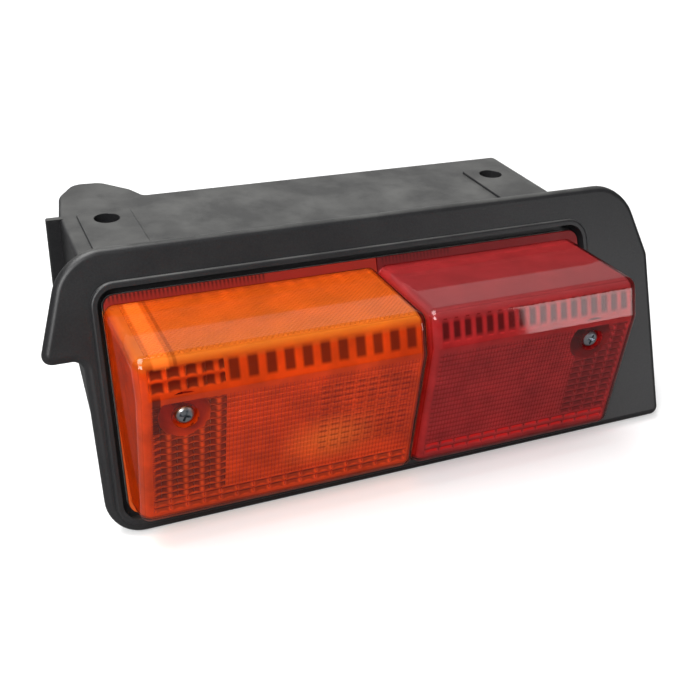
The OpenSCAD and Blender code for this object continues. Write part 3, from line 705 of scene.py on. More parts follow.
@dataclass(frozen=True)
class PrismFinish:
    """The inner side of a lens: frosted clear plastic with painted shade in the cells of its prisms and
    painted light in some of them.
    """

    name: str
    # top is the colour of the top faces: on the lens bodies a paler colour than front, painted light; dark is
    # a random darker tone and the colour of painted shade in the cells; lit is the colour of painted light in
    # the cells
    top: Color
    front: Color
    dark: Color
    shadow: Color
    dashes: tuple[Dashes, ...]
    lit: Color = (0.8, 0.02, 0.02)
    rough: float = 0.42
    clear: float = 0.32
    ior: float = 1.3
    front_z: float = -15.0
    top_z: float = -11.5

    def build(self, effects: Effects) -> Material:
        """Builds the material.

        Args:
            effects: The shared node groups.

        Returns:
            The material.
        """
        material, tree, shader = new_material(self.name)
        height = tree.axes(tree.coordinates())["Z"]
        cloud = tree.place(effects.grain, Size=14.0, Depth=0.02)["Value"]
        # Faces above top_z take the top colour, faces below front_z the front one; on the lens bodies the
        # paler top is painted light
        front = tree.blend(tree.between(cloud, 0.35, 0.7, 0.0, 0.4), self.front, self.dark)
        top = tree.blend(tree.between(cloud, 0.35, 0.7, 0.0, 0.1), self.top, self.dark)
        color = tree.blend(tree.between(height, self.front_z * MM, self.top_z * MM, 0.0, 1.0), front, top)
        # Painted shade between the prism ribs in the dark colour, and painted light in the lit colour where a
        # field is lit
        for one in self.dashes:
            mask = tree.place(
                effects.cells, Left=one.area.left, Right=one.area.right, Low=one.area.low, High=one.area.high,
                Wide=one.wide, Tall=one.tall, Margin_X=one.margin_x, Margin_Z=one.margin_z, Soft=one.soft,
                Curve=one.curve,
            )["Mask"]
            shown = tree.between(mask, 0.0, 1.0, 0.0, one.strength)
            color = tree.blend(shown, color, self.lit if one.lit else self.dark)
        rough = tree.between(cloud, 0.3, 0.7, self.rough - 0.05, self.rough + 0.05)
        tree.fill(
            shader, Base_Color=color, Roughness=rough, Transmission_Weight=self.clear, IOR=self.ior,
        )
        tint_shadow(tree, shader, self.shadow)
        return material


@dataclass(frozen=True)
class MetalFinish:
    """Bare or plated metal with fine drawn lines and dull patches."""

    name: str
    bright: Color
    dull: Color
    rough: float = 0.25
    lines: float = 0.4

    def build(self, effects: Effects) -> Material:
        """Builds the material.

        Args:
            effects: The shared node groups.

        Returns:
            The material.
        """
        material, tree, shader = new_material(self.name)
        wear = tree.place(effects.scuffs, Scratches=self.lines, Dust=0.8)
        tree.fill(
            shader, Base_Color=tree.blend(wear["Dust"], self.bright, self.dull),
            Roughness=tree.between(wear["Dust"], 0.0, 0.8, self.rough, self.rough + 0.2),
            Normal=tree.place(effects.grain, Size=0.35, Depth=0.08)["Normal"], Metallic=1.0,
        )
        return material


# The finishes of each slot, and the painted shade and light in the prism cells of each lens


FINISHES: dict[str, MouldedFinish | ClearFinish | MetalFinish] = {
    finish.name: finish for finish in (
        # The black housing has a painted sheen in its dust colour on the faces that look up
        MouldedFinish(
            "black_housing", (0.010, 0.010, 0.011), (0.017, 0.017, 0.018), rough=0.42, grain=0.7, depth=0.1,
            scratches=0.25, dust=0.12, dust_and_sheen_color=(0.12, 0.12, 0.115), top_sheen=0.5, specular=0.35,
        ),
        MouldedFinish(
            "base_plastic", (0.60, 0.60, 0.57), (0.68, 0.68, 0.65), rough=0.4, dust_and_sheen_color=(0.45, 0.42, 0.36),
        ),
        ClearFinish("amber_lens", (1.0, 0.42, 0.12), (0.8, 0.55, 0.35)),
        ClearFinish("red_lens", (0.95, 0.16, 0.16), (0.7, 0.4, 0.4)),
        MouldedFinish(
            "seal_rubber", (0.04, 0.03, 0.03), (0.07, 0.06, 0.055), rough=0.85, grain=0.3, depth=0.5,
        ),
        MetalFinish("reflector", (0.88, 0.88, 0.9), (0.75, 0.75, 0.76), rough=0.08, lines=0.1),
        MetalFinish("plated_steel", (0.66, 0.65, 0.62), (0.48, 0.46, 0.42), rough=0.3),
        MouldedFinish("insulator", (0.16, 0.08, 0.035), (0.24, 0.13, 0.06), rough=0.6, grain=0.4, depth=0.3),
        MetalFinish("spring_steel", (0.6, 0.6, 0.61), (0.4, 0.4, 0.4), rough=0.22),
        MetalFinish("bulb_cap", (0.72, 0.68, 0.56), (0.5, 0.45, 0.34), rough=0.25),
        ClearFinish("bulb_glass", (0.97, 0.97, 0.95), (0.95, 0.95, 0.94), rough=0.0, ior=1.5, flow=0.0),
        MetalFinish("filament", (0.6, 0.6, 0.62), (0.4, 0.4, 0.42), rough=0.35),
        MetalFinish("screw_steel", (0.40, 0.42, 0.45), (0.28, 0.29, 0.30), rough=0.24),
        MetalFinish("contact_brass", (0.8, 0.6, 0.28), (0.5, 0.34, 0.14), rough=0.3),
        MouldedFinish(
            "grommet_rubber", (0.012, 0.012, 0.012), (0.022, 0.022, 0.022), rough=0.7, grain=0.4, depth=0.25,
        ),
    )
}

BAND_TOP, BAND_BOTTOM = -13.2, -22.2
PANEL_TOP, FOOT_TOP, FOOT_BOTTOM = -26.0, -70.0, -76.5
RIM_TOP, RIM_BOTTOM = 2.0, -11.0
AMBER_LEFT, AMBER_STEP, AMBER_RIGHT = -101.2, -74.0, 1.6
RED_LEFT, RED_STEP, RED_RIGHT = 10.6, 74.0, 97.0

AMBER_BAND_BRICKS = Area(AMBER_LEFT, AMBER_STEP, BAND_BOTTOM, BAND_TOP)
AMBER_BAND_BLOCKS = Area(AMBER_STEP, AMBER_RIGHT, BAND_BOTTOM, BAND_TOP)
AMBER_BRICKS = Area(AMBER_LEFT, AMBER_STEP, FOOT_TOP, PANEL_TOP)
AMBER_NET = Area(AMBER_STEP, AMBER_RIGHT, FOOT_TOP, PANEL_TOP)
AMBER_FOOT = Area(AMBER_LEFT, AMBER_RIGHT, FOOT_BOTTOM, FOOT_TOP)
# Areas of painted light and shade on the amber lens: a painted shadow at its left end, a painted pool of
# light in the middle of its panel, painted shade in rows, a painted highlight strip near the top of its left
# end and a painted dark line beside that strip
AMBER_SHADE = Area(AMBER_LEFT, -97.0, -40.0, -22.0)
AMBER_GLOW = Area(-54.0, -12.0, -69.0, -44.0)
AMBER_SHADE_ROWS = Area(-38.0, -0.4, -62.0, -30.0)
AMBER_HIGHLIGHT_STRIP = Area(-99.5, -92.5, -14.6, -8.0)
AMBER_SHADE_LINE = Area(-91.8, -90.2, -14.6, -8.0)
RED_BAND = Area(RED_LEFT, RED_RIGHT, BAND_BOTTOM, BAND_TOP)
RED_BRICKS = Area(RED_STEP, RED_RIGHT, FOOT_TOP, PANEL_TOP)
RED_NET = Area(RED_LEFT, RED_STEP, FOOT_TOP, PANEL_TOP)
RED_FOOT = Area(RED_LEFT, RED_RIGHT, FOOT_BOTTOM, FOOT_TOP)

# Painted light: the top colour is paler and yellower than the front, for the light from above on the lens's
# top. The dark dashes paint shade between the prism ribs; the lit ones paint the pool of light and the
# highlight strip
AMBER_PRISMS = PrismFinish(
    "amber_prisms", top=(0.50, 0.27, 0.06), front=(0.74, 0.115, 0.010), dark=(0.07, 0.006, 0.003),
    shadow=(0.5, 0.3, 0.15), lit=(0.9, 0.40, 0.12),
    dashes=(
        Dashes(AMBER_BRICKS, 6.1, 3.1, 0.04, 0.1, strength=0.85, soft=0.16, curve=1.1),
        Dashes(AMBER_FOOT, 6.4, 3.25, 0.04, 0.1, strength=0.6, soft=0.16, curve=1.1),
        Dashes(AMBER_BAND_BRICKS, 6.1, 4.5, 0.08, 0.06, strength=0.9, soft=0.14, curve=0.8),
        Dashes(AMBER_BAND_BLOCKS, 6.9, 9.0, 0.14, 0.0, strength=0.85, soft=0.16),
        Dashes(AMBER_SHADE, 4.2, 18.0, 0.1, 0.02, strength=0.9),
        Dashes(AMBER_NET, 1.4, 2.3, 0.02, 0.28, strength=0.22),
        Dashes(AMBER_GLOW, 42.0, 25.0, 0.0, 0.0, strength=0.75, soft=0.45, lit=True),
        Dashes(AMBER_SHADE_ROWS, 4.7, 2.67, 0.05, 0.26, strength=0.6, soft=0.2),
        Dashes(AMBER_HIGHLIGHT_STRIP, 7.0, 6.6, 0.04, 0.0, strength=0.8, soft=0.12, lit=True),
        Dashes(AMBER_SHADE_LINE, 1.6, 6.6, 0.0, 0.0, strength=0.45, soft=0.2),
    ),
)
# Painted reflection: the greyish pink top colour stands in for the sky that the lens's top reflects. The dark
# dashes paint shade between the prism ribs, and the lit ones paint light into the cells of the foot
RED_PRISMS = PrismFinish(
    "red_prisms", top=(0.24, 0.15, 0.16), front=(0.52, 0.10, 0.105), dark=(0.04, 0.003, 0.004),
    shadow=(0.4, 0.15, 0.15),
    dashes=(
        Dashes(RED_FOOT, 6.65, 3.25, 0.04, 0.2, strength=0.85, soft=0.16, curve=0.6, lit=True),
        Dashes(RED_BRICKS, 5.75, 3.1, 0.04, 0.1, strength=0.6, soft=0.16, curve=1.1),
        Dashes(RED_BAND, 4.8, 9.0, 0.1, 0.02, strength=0.9, soft=0.2),
        Dashes(RED_NET, 1.4, 2.3, 0.02, 0.28, strength=0.4),
    ),
)
# The rims are darker on their top strip than on their front, and their dark upright dashes paint the shade
# between serrations on that strip
AMBER_RIM = PrismFinish(
    "amber_rim", top=(0.3, 0.016, 0.008), front=(0.6, 0.09, 0.01), dark=(0.03, 0.003, 0.002),
    shadow=(0.5, 0.3, 0.15),
    dashes=(Dashes(Area(-106.0, -42.0, RIM_BOTTOM, RIM_TOP), 1.6, 13.0, 0.15, 0.0, strength=0.8, soft=0.2),),
)
RED_RIM = PrismFinish(
    "red_rim", top=(0.16, 0.008, 0.009), front=(0.36, 0.03, 0.032), dark=(0.03, 0.003, 0.003),
    shadow=(0.4, 0.15, 0.15),
    dashes=(Dashes(Area(8.0, 40.0, RIM_BOTTOM, RIM_TOP), 1.6, 13.0, 0.15, 0.0, strength=0.6, soft=0.2),),
)


# The lamp's own sizes


@dataclass(frozen=True)
class Slope:
    """The leaning plane of the front frame's face."""

    tilt: float = 22.2
    reach: float = 53.4

    def matrix(self) -> Matrix:
        """Returns the placement of what is built flat, with X along the lamp and Z up the slope."""
        return Matrix.Translation(mm(0, -self.reach, 0)) @ Matrix.Rotation(-math.radians(self.tilt), 4, "X")

    def inward(self) -> Vector:
        """Returns the direction from the face into the housing."""
        turn = math.radians(self.tilt)
        return Vector((0, math.cos(turn), -math.sin(turn)))

    def at(self, depth: float) -> Vector:
        """Returns a point at a depth behind the face, given in millimetres."""
        return mm(0, -self.reach, 0) + self.inward() * depth * MM

    def depth(self, point: Vector) -> float:
        """Returns how far a point lies behind the face, in millimetres."""
        return (point - mm(0, -self.reach, 0)).dot(self.inward()) / MM

    def lay(self, piece: Piece) -> Piece:
        """Moves a piece that was built flat onto the slope."""
        piece.matrix_world = self.matrix()
        settle(piece)
        return piece


@dataclass(frozen=True)
class Opening:
    """The outline of the lens opening, in X and slope height."""

    left: float = 110.0
    right: float = 106.5
    top: float = 6.0
    bottom: float = 95.5
    lean: float = 1.8
    radius: float = 7.0

    def corners(self, gap: float = 0.0) -> list[Corner]:
        """Works out the outline.

        Args:
            gap: How far it is moved inwards, in millimetres.

        Returns:
            Its corners.
        """
        outline = [
            (-self.left, -self.bottom, self.radius), (self.right, -self.bottom, self.radius),
            (self.right, -self.top, self.radius), (-self.left + self.lean, -self.top, self.radius),
        ]
        return inset_corners(outline, gap)


SLOPE = Slope()
OPENING = Opening()


@dataclass(frozen=True)
class Screw:
    """Where a lens screw sits."""

    x: float
    z: float = -32.0
    seat_y: float = -107.4


def paint(piece: Piece, materials: list[Material], taken: int = 0) -> None:
    """Gives a piece its materials and all of its faces one of them.

    Args:
        piece: The piece.
        materials: Its materials.
        taken: Which of them its faces get.
    """
    piece.data.materials.clear()
    for material in materials:
        piece.data.materials.append(material)
    with editing(piece):
        bpy.ops.mesh.select_all(action="SELECT")
        piece.active_material_index = taken
        bpy.ops.object.material_slot_assign()


def adopt(piece: Piece, slot: str, *nodes: str) -> None:
    """Rides a finished piece on the part and hides the solids that it stands for.

    Args:
        piece: The piece.
        slot: Its material slot; not used.
        nodes: The solids.
    """
    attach(piece, "root")
    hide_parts(*nodes)
    LOG.info("%s: %d faces", piece.name, len(piece.data.polygons))


# Lenses


class Side(Enum):
    """The long faces of a lens, in order round its profile."""

    TOP = 0
    BAND = 1
    PANEL = 2
    FOOT = 3


@dataclass(frozen=True)
class Profile:
    """Side view of both lenses: the corners of their outer skin in Y and Z."""

    corners: tuple[tuple[float, float], ...] = (
        (-48.0, -11.2), (-106.9, -9.1), (-111.6, -23.7), (-104.2, -80.6), (-48.0, -93.0),
    )

    def normal(self, side: Side) -> Vector:
        """Returns a face's outward direction."""
        (y0, z0), (y1, z1) = self.corners[side.value:side.value + 2]
        return Vector((0, z1 - z0, y0 - y1)).normalized()

    def point(self, side: Side, gap: float) -> Vector:
        """Returns a corner of a face that is moved inwards by a gap in millimetres."""
        return mm(0, *self.corners[side.value]) - self.normal(side) * gap * MM

    def up(self, side: Side) -> Vector:
        """Returns the direction along a face, square to X: up the front and back along the top."""
        (y0, z0), (y1, z1) = self.corners[side.value:side.value + 2]
        return Vector((0, y0 - y1, z0 - z1)).normalized()

    def level(self, side: Side, place: Vector) -> float:
        """Returns how far up a face a place lies: its Y on the top, its Z elsewhere, in millimetres."""
        return (place.y if side is Side.TOP else place.z) / MM

    def at(self, side: Side, gap: float, level: float) -> Vector:
        """Returns the point of a face at a level.

        Args:
            side: The face.
            gap: How far it is moved inwards, in millimetres.
            level: The level, in millimetres.
        """
        start = self.point(side, gap)
        up = self.up(side)
        run = up.y if side is Side.TOP else up.z
        return start + up * (level - self.level(side, start)) * MM / run


PROFILE = Profile()


class Lay(Enum):
    """Which way the rounded ribs of a field run."""

    FLAT = "flat"
    ALONG = "along"
    UPRIGHT = "upright"


def split(low: float, high: float, pitch: float) -> list[float]:
    """Divides a range into equal steps close to a pitch.

    Args:
        low: Start of the range.
        high: End of the range.
        pitch: The wanted step.

    Returns:
        The borders of the steps, with both ends.
    """
    count = max(1, round((high - low) / pitch))
    return [low + (high - low) * i / count for i in range(count + 1)]


@dataclass(frozen=True)
class Field:
    """A field of prisms inside a lens: where it lies and how its cells are made, in millimetres."""

    side: Side
    area: Area
    wide: float
    tall: float
    border: float
    rise: float
    lay: Lay = Lay.FLAT

    def columns(self) -> list[float]:
        """Returns the X of every upright cell border, the sides of the field included."""
        return split(self.area.left, self.area.right, self.wide)

    def rows(self) -> list[float]:
        """Returns the level of every cell border across, the ends of the field included."""
        return split(self.area.low, self.area.high, self.tall)

    def holds(self, x: float, level: float) -> bool:
        """Says whether a place in millimetres lies inside the field."""
        return self.area.left < x < self.area.right and self.area.low < level < self.area.high


@dataclass
class OpticsCutter:
    """Cuts fields of prisms into the skin of a lens's hollow."""

    piece: Piece
    gap: float
    steps: int = 6
    near: float = 0.03
    margin: float = 0.02

    def above(self, place: Vector, side: Side) -> float:
        """Returns how far a place lies outside a side of the hollow, in metres."""
        return (place - PROFILE.point(side, self.gap)).dot(PROFILE.normal(side))

    def touches(self, field: Field) -> Callable[[Face], bool]:
        """Makes a test for faces that lie flat on a field's side and reach into the field.

        Args:
            field: The field.

        Returns:
            The test.
        """
        def test(face: Face) -> bool:
            """Says whether a face reaches into the field."""
            flat = face.normal.dot(PROFILE.normal(field.side)) > 0.9999
            if not flat or abs(self.above(face.calc_center_median(), field.side)) >= NEAR:
                return False
            xs = [v.co.x / MM for v in face.verts]
            levels = [PROFILE.level(field.side, v.co) for v in face.verts]
            return (
                min(xs) < field.area.right - self.margin and max(xs) > field.area.left + self.margin
                and min(levels) < field.area.high - self.margin and max(levels) > field.area.low + self.margin
            )
        return test

    def slice_columns(self, field: Field, places: list[float]) -> None:
        """Cuts the faces of a field upright at each place along X."""
        for x in places:
            pick(self.piece, Pick.FACES, self.touches(field))
            cut(mm(x, 0, 0), Vector((1, 0, 0)))

    def slice_rows(self, field: Field, levels: list[float]) -> None:
        """Cuts the faces of a field across at each level."""
        for level in levels:
            pick(self.piece, Pick.FACES, self.touches(field))
            cut(PROFILE.at(field.side, self.gap, level), PROFILE.up(field.side))

    def outline(self, field: Field) -> None:
        """Cuts along the four sides of a field."""
        self.slice_rows(field, [field.area.low, field.area.high])
        self.slice_columns(field, [field.area.left, field.area.right])

    def inset(self, field: Field, depth: float) -> None:
        """Insets each cell of a field by its border.

        Args:
            field: The field.
            depth: How far the cells go in, in millimetres. They rise where it is below zero.
        """
        pick(self.piece, Pick.FACES, self.touches(field))
        bpy.ops.mesh.inset(
            thickness=field.border * MM, depth=depth * MM, use_individual=True, use_even_offset=True,
        )

    def rib(self, field: Field) -> None:
        """Rounds each cell of a field into a rib that runs along X or upright.

        Args:
            field: The field, already cut into cells with borders.
        """
        border = field.border
        along = field.lay is Lay.ALONG
        lines, other_lines = (field.rows(), field.columns()) if along else (field.columns(), field.rows())
        first, pitch = lines[0], lines[1] - lines[0]
        other_first, other = other_lines[0], other_lines[1] - other_lines[0]
        inner = pitch - 2 * border
        shares = [(k, border + inner * k / self.steps) for k in range(1, self.steps)]
        cuts = [line + share for line in lines[:-1] for _, share in shares]
        (self.slice_rows if along else self.slice_columns)(field, cuts)
        back = -PROFILE.normal(field.side) * field.rise * MM
        for k, share in shares:
            def on_rib(vert: Vert, share: float = share) -> bool:
                """Says whether a point lies at this share of a rib."""
                x, level = vert.co.x / MM, PROFILE.level(field.side, vert.co)
                if not field.holds(x, level) or abs(self.above(vert.co, field.side)) > NEAR:
                    return False
                run, side_run = (level, x) if along else (x, level)
                past, side_past = (run - first) % pitch, (side_run - other_first) % other
                in_cell = border - self.near < side_past < other - border + self.near
                return abs(past - share) < self.near and in_cell
            pick(self.piece, Pick.VERTS, on_rib)
            bpy.ops.transform.translate(value=back * math.sin(math.pi * k / self.steps))

    def make(self, field: Field) -> None:
        """Cuts one field into cells and raises them.

        Args:
            field: The field.
        """
        with editing(self.piece):
            self.outline(field)
            self.slice_columns(field, field.columns()[1:-1])
            self.slice_rows(field, field.rows()[1:-1])
            self.inset(field, -field.rise if field.lay is Lay.FLAT else 0.0)
            if field.lay is not Lay.FLAT:
                self.rib(field)

    def knurl(self, field: Field) -> None:
        """Cuts a field into small diamonds and raises them.

        Args:
            field: The field, with the diamonds' pitch as its cells' width.
        """
        area, side = field.area, field.side
        tall = area.high - area.low
        with editing(self.piece):
            self.outline(field)
            corner = PROFILE.at(side, self.gap, area.low)
            for turn in (1, -1):
                across = (Vector((1, 0, 0)) + PROFILE.up(side) * turn).normalized()
                first = area.left if turn > 0 else area.left - tall
                for i in range(1, int((area.right - area.left + tall) / field.wide)):
                    pick(self.piece, Pick.FACES, self.touches(field))
                    cut(corner + Vector(((first + i * field.wide) * MM - corner.x, 0, 0)), across)
            self.inset(field, -field.rise)


@dataclass
class Lens:
    """One moulded lens with its flange, its prisms and its screw pad, in millimetres."""

    name: str
    node: str
    slot: str
    left: float
    right: float
    left_draft: float
    right_draft: float
    left_lean: float
    joint_on_right: bool
    screw: Screw
    fields: tuple[Field, ...]
    knurl: Field | None = None
    wall: float = 2.5
    edge_r: float = 4.0
    crease_r: float = 1.0
    hollow_crease_r: float = 0.4
    flange_gap: float = 2.5
    flange_proud: float = 0.8
    flange_edge_r: float = 0.35
    rim_depth: float = 1.0
    pad_r: float = 9.6
    pad_proud: float = 1.4
    boss_rear_r: float = 5.0
    boss_rear_y: float = -62.3
    recess_r: float = 4.9
    recess_reach: float = 12.0
    shank_r: float = 2.2
    shank_reach: float = 2.0
    shank_l: float = 50.0
    blank_front_y: float = -125.0
    blank_bottom_z: float = -110.0
    blank_top_z: float = 5.0
    blank_margin: float = 8.0
    foot_z: float = -90.0

    def form(self, name: str, gap: float, edge_r: float, crease_r: float) -> Piece:
        """Models the lens's closed outer form, made thinner all round.

        Args:
            name: The object's name.
            gap: How far each face is moved in, in millimetres.
            edge_r: Radius of the outer edges.
            crease_r: Radius of the crease across the front.

        Returns:
            The form, closed at a plane behind the housing's face.
        """
        back_y = PROFILE.corners[0][0]
        front_y, crease_z = PROFILE.corners[2]
        piece = block(
            name, mm(self.left - self.blank_margin, self.blank_front_y, self.blank_bottom_z),
            mm(self.right + self.blank_margin, back_y, self.blank_top_z),
        )
        for side in Side:
            trim(piece, PROFILE.point(side, gap), PROFILE.normal(side))
        for x, draft, sign in ((self.left, self.left_draft, -1), (self.right, self.right_draft, 1)):
            normal = Vector((sign, -draft / (back_y - front_y), 0)).normalized()
            trim(piece, mm(x, front_y, 0) - normal * gap * MM, normal)
        near_left, long_run = 3.0, 20.0

        def at_foot(vert: Vert) -> bool:
            """Says whether a point is a lower left corner."""
            return vert.co.x < (self.left + near_left) * MM and vert.co.z < (self.foot_z + gap) * MM

        def across(edge: Edge, middle: Vector, near: float) -> bool:
            """Says whether an edge runs across the lens at the height of the crease."""
            length = abs((edge.verts[0].co - edge.verts[1].co).x)
            return length > long_run * MM and abs(middle.z - crease_z * MM) < near * MM

        def outer(edge: Edge) -> bool:
            """Says whether an edge is one of the form's long outer edges."""
            middle = (edge.verts[0].co + edge.verts[1].co) / 2
            at_crease = across(edge, middle, 3.0) and middle.y < (front_y + gap + 1.0) * MM
            return middle.y < back_y * MM - NEAR and not at_crease

        def crease(edge: Edge) -> bool:
            """Says whether an edge is the crease across the front."""
            middle = (edge.verts[0].co + edge.verts[1].co) / 2
            return across(edge, middle, 1.5) and middle.y < (back_y - long_run) * MM

        with editing(piece):
            pick(piece, Pick.VERTS, at_foot)
            bpy.ops.transform.translate(value=mm(-self.left_lean, 0, 0))
        with editing(piece):
            pick(piece, Pick.EDGES, outer)
            round_picked(edge_r, 6)
            pick(piece, Pick.EDGES, crease)
            round_picked(crease_r, 3)
        return piece

    def flange(self) -> Piece:
        """Models the flange that runs round the lens.

        Returns:
            The flange, cut off at the joint between the lenses.
        """
        piece = plate("flange", OPENING.corners(self.flange_gap), -self.flange_proud, self.rim_depth)
        roll_edge(piece, FORWARD, self.flange_edge_r, 3)
        SLOPE.lay(piece)
        joint, sign = (self.right, 1) if self.joint_on_right else (self.left, -1)
        trim(piece, mm(joint, 0, 0), Vector((sign, 0, 0)))
        return piece

    def build(self, materials: list[Material]) -> None:
        """Models and dresses the lens.

        Args:
            materials: Finishes of its outer side, of its prisms, and of its flange and screw pad.
        """
        piece = self.form(self.name, 0.0, self.edge_r, self.crease_r)
        paint(piece, materials)
        trim(piece, SLOPE.at(self.rim_depth), SLOPE.inward())
        flange = self.flange()
        paint(flange, materials, 2)
        combine(piece, flange, "UNION")
        hollow = self.form("hollow", self.wall, self.edge_r - self.wall, self.hollow_crease_r)
        cutter = OpticsCutter(hollow, self.wall)
        for one in self.fields:
            cutter.make(one)
        if self.knurl is not None:
            cutter.knurl(self.knurl)
        paint(hollow, materials, 1)
        combine(piece, hollow, "DIFFERENCE")
        x, z, seat = self.screw.x, self.screw.z, self.screw.seat_y
        boss_y = seat - self.pad_proud
        boss = bar("boss", mm(x, boss_y, z), self.boss_rear_y - boss_y, self.pad_r, self.boss_rear_r, 64)
        paint(boss, materials, 2)
        combine(piece, boss, "UNION")
        recess_y, hole_y = seat - self.recess_reach, seat - self.shank_reach
        recess = bar("recess", mm(x, recess_y, z), self.recess_reach, self.recess_r, self.recess_r, 64)
        combine(piece, recess, "DIFFERENCE")
        hole = bar("hole", mm(x, hole_y, z), self.shank_l, self.shank_r, self.shank_r)
        combine(piece, hole, "DIFFERENCE")
        smooth(piece)
        adopt(piece, self.slot, self.node)


JOINT_X = 6.1
LENS_GAP = 0.5


def amber_lens() -> Lens:
    """Returns the turn signal lens with its fields of prisms."""
    bricks_left = -98.3
    edge_bricks, bricks = replace(AMBER_BRICKS, right=bricks_left), replace(AMBER_BRICKS, left=bricks_left)
    top = Area(AMBER_LEFT + 0.6, AMBER_RIGHT, -103.0, -58.0)
    fields = (
        Field(Side.BAND, AMBER_BAND_BRICKS, 6.1, 4.5, border=0.3, rise=0.9, lay=Lay.ALONG),
        Field(Side.BAND, AMBER_BAND_BLOCKS, 6.9, 9.0, border=0.8, rise=1.3, lay=Lay.UPRIGHT),
        Field(Side.PANEL, AMBER_FOOT, 6.5, 3.2, border=0.3, rise=1.2, lay=Lay.ALONG),
        Field(Side.PANEL, edge_bricks, 2.9, 1.0, border=0.08, rise=0.5),
        Field(Side.PANEL, bricks, 6.1, 3.1, border=0.3, rise=1.2, lay=Lay.ALONG),
        Field(Side.PANEL, AMBER_NET, 1.4, 2.3, border=0.12, rise=0.35),
    )
    return Lens(
        "amber_lens_moulding", "amber_lens", "amber_lens", left=-105.7, right=JOINT_X - LENS_GAP / 2,
        left_draft=0.8, right_draft=0.0, left_lean=2.4, joint_on_right=True, screw=Screw(-89.2),
        fields=fields, knurl=Field(Side.TOP, top, 2.0, 2.0, border=0.25, rise=0.3),
    )


def red_lens() -> Lens:
    """Returns the stop and tail lens with its fields of prisms."""
    fields = (
        Field(Side.BAND, RED_BAND, 4.8, 9.0, border=0.5, rise=0.5, lay=Lay.UPRIGHT),
        Field(Side.PANEL, RED_FOOT, 6.5, 3.2, border=0.3, rise=1.2, lay=Lay.ALONG),
        Field(Side.PANEL, RED_BRICKS, 5.7, 3.1, border=0.3, rise=1.2, lay=Lay.ALONG),
        Field(Side.PANEL, RED_NET, 1.4, 2.3, border=0.12, rise=0.35),
    )
    return Lens(
        "red_lens_moulding", "red_lens", "red_lens", left=JOINT_X + LENS_GAP / 2, right=101.2,
        left_draft=0.0, right_draft=0.8, left_lean=0.0, joint_on_right=False, screw=Screw(80.0),
        fields=fields,
    )


# The housing


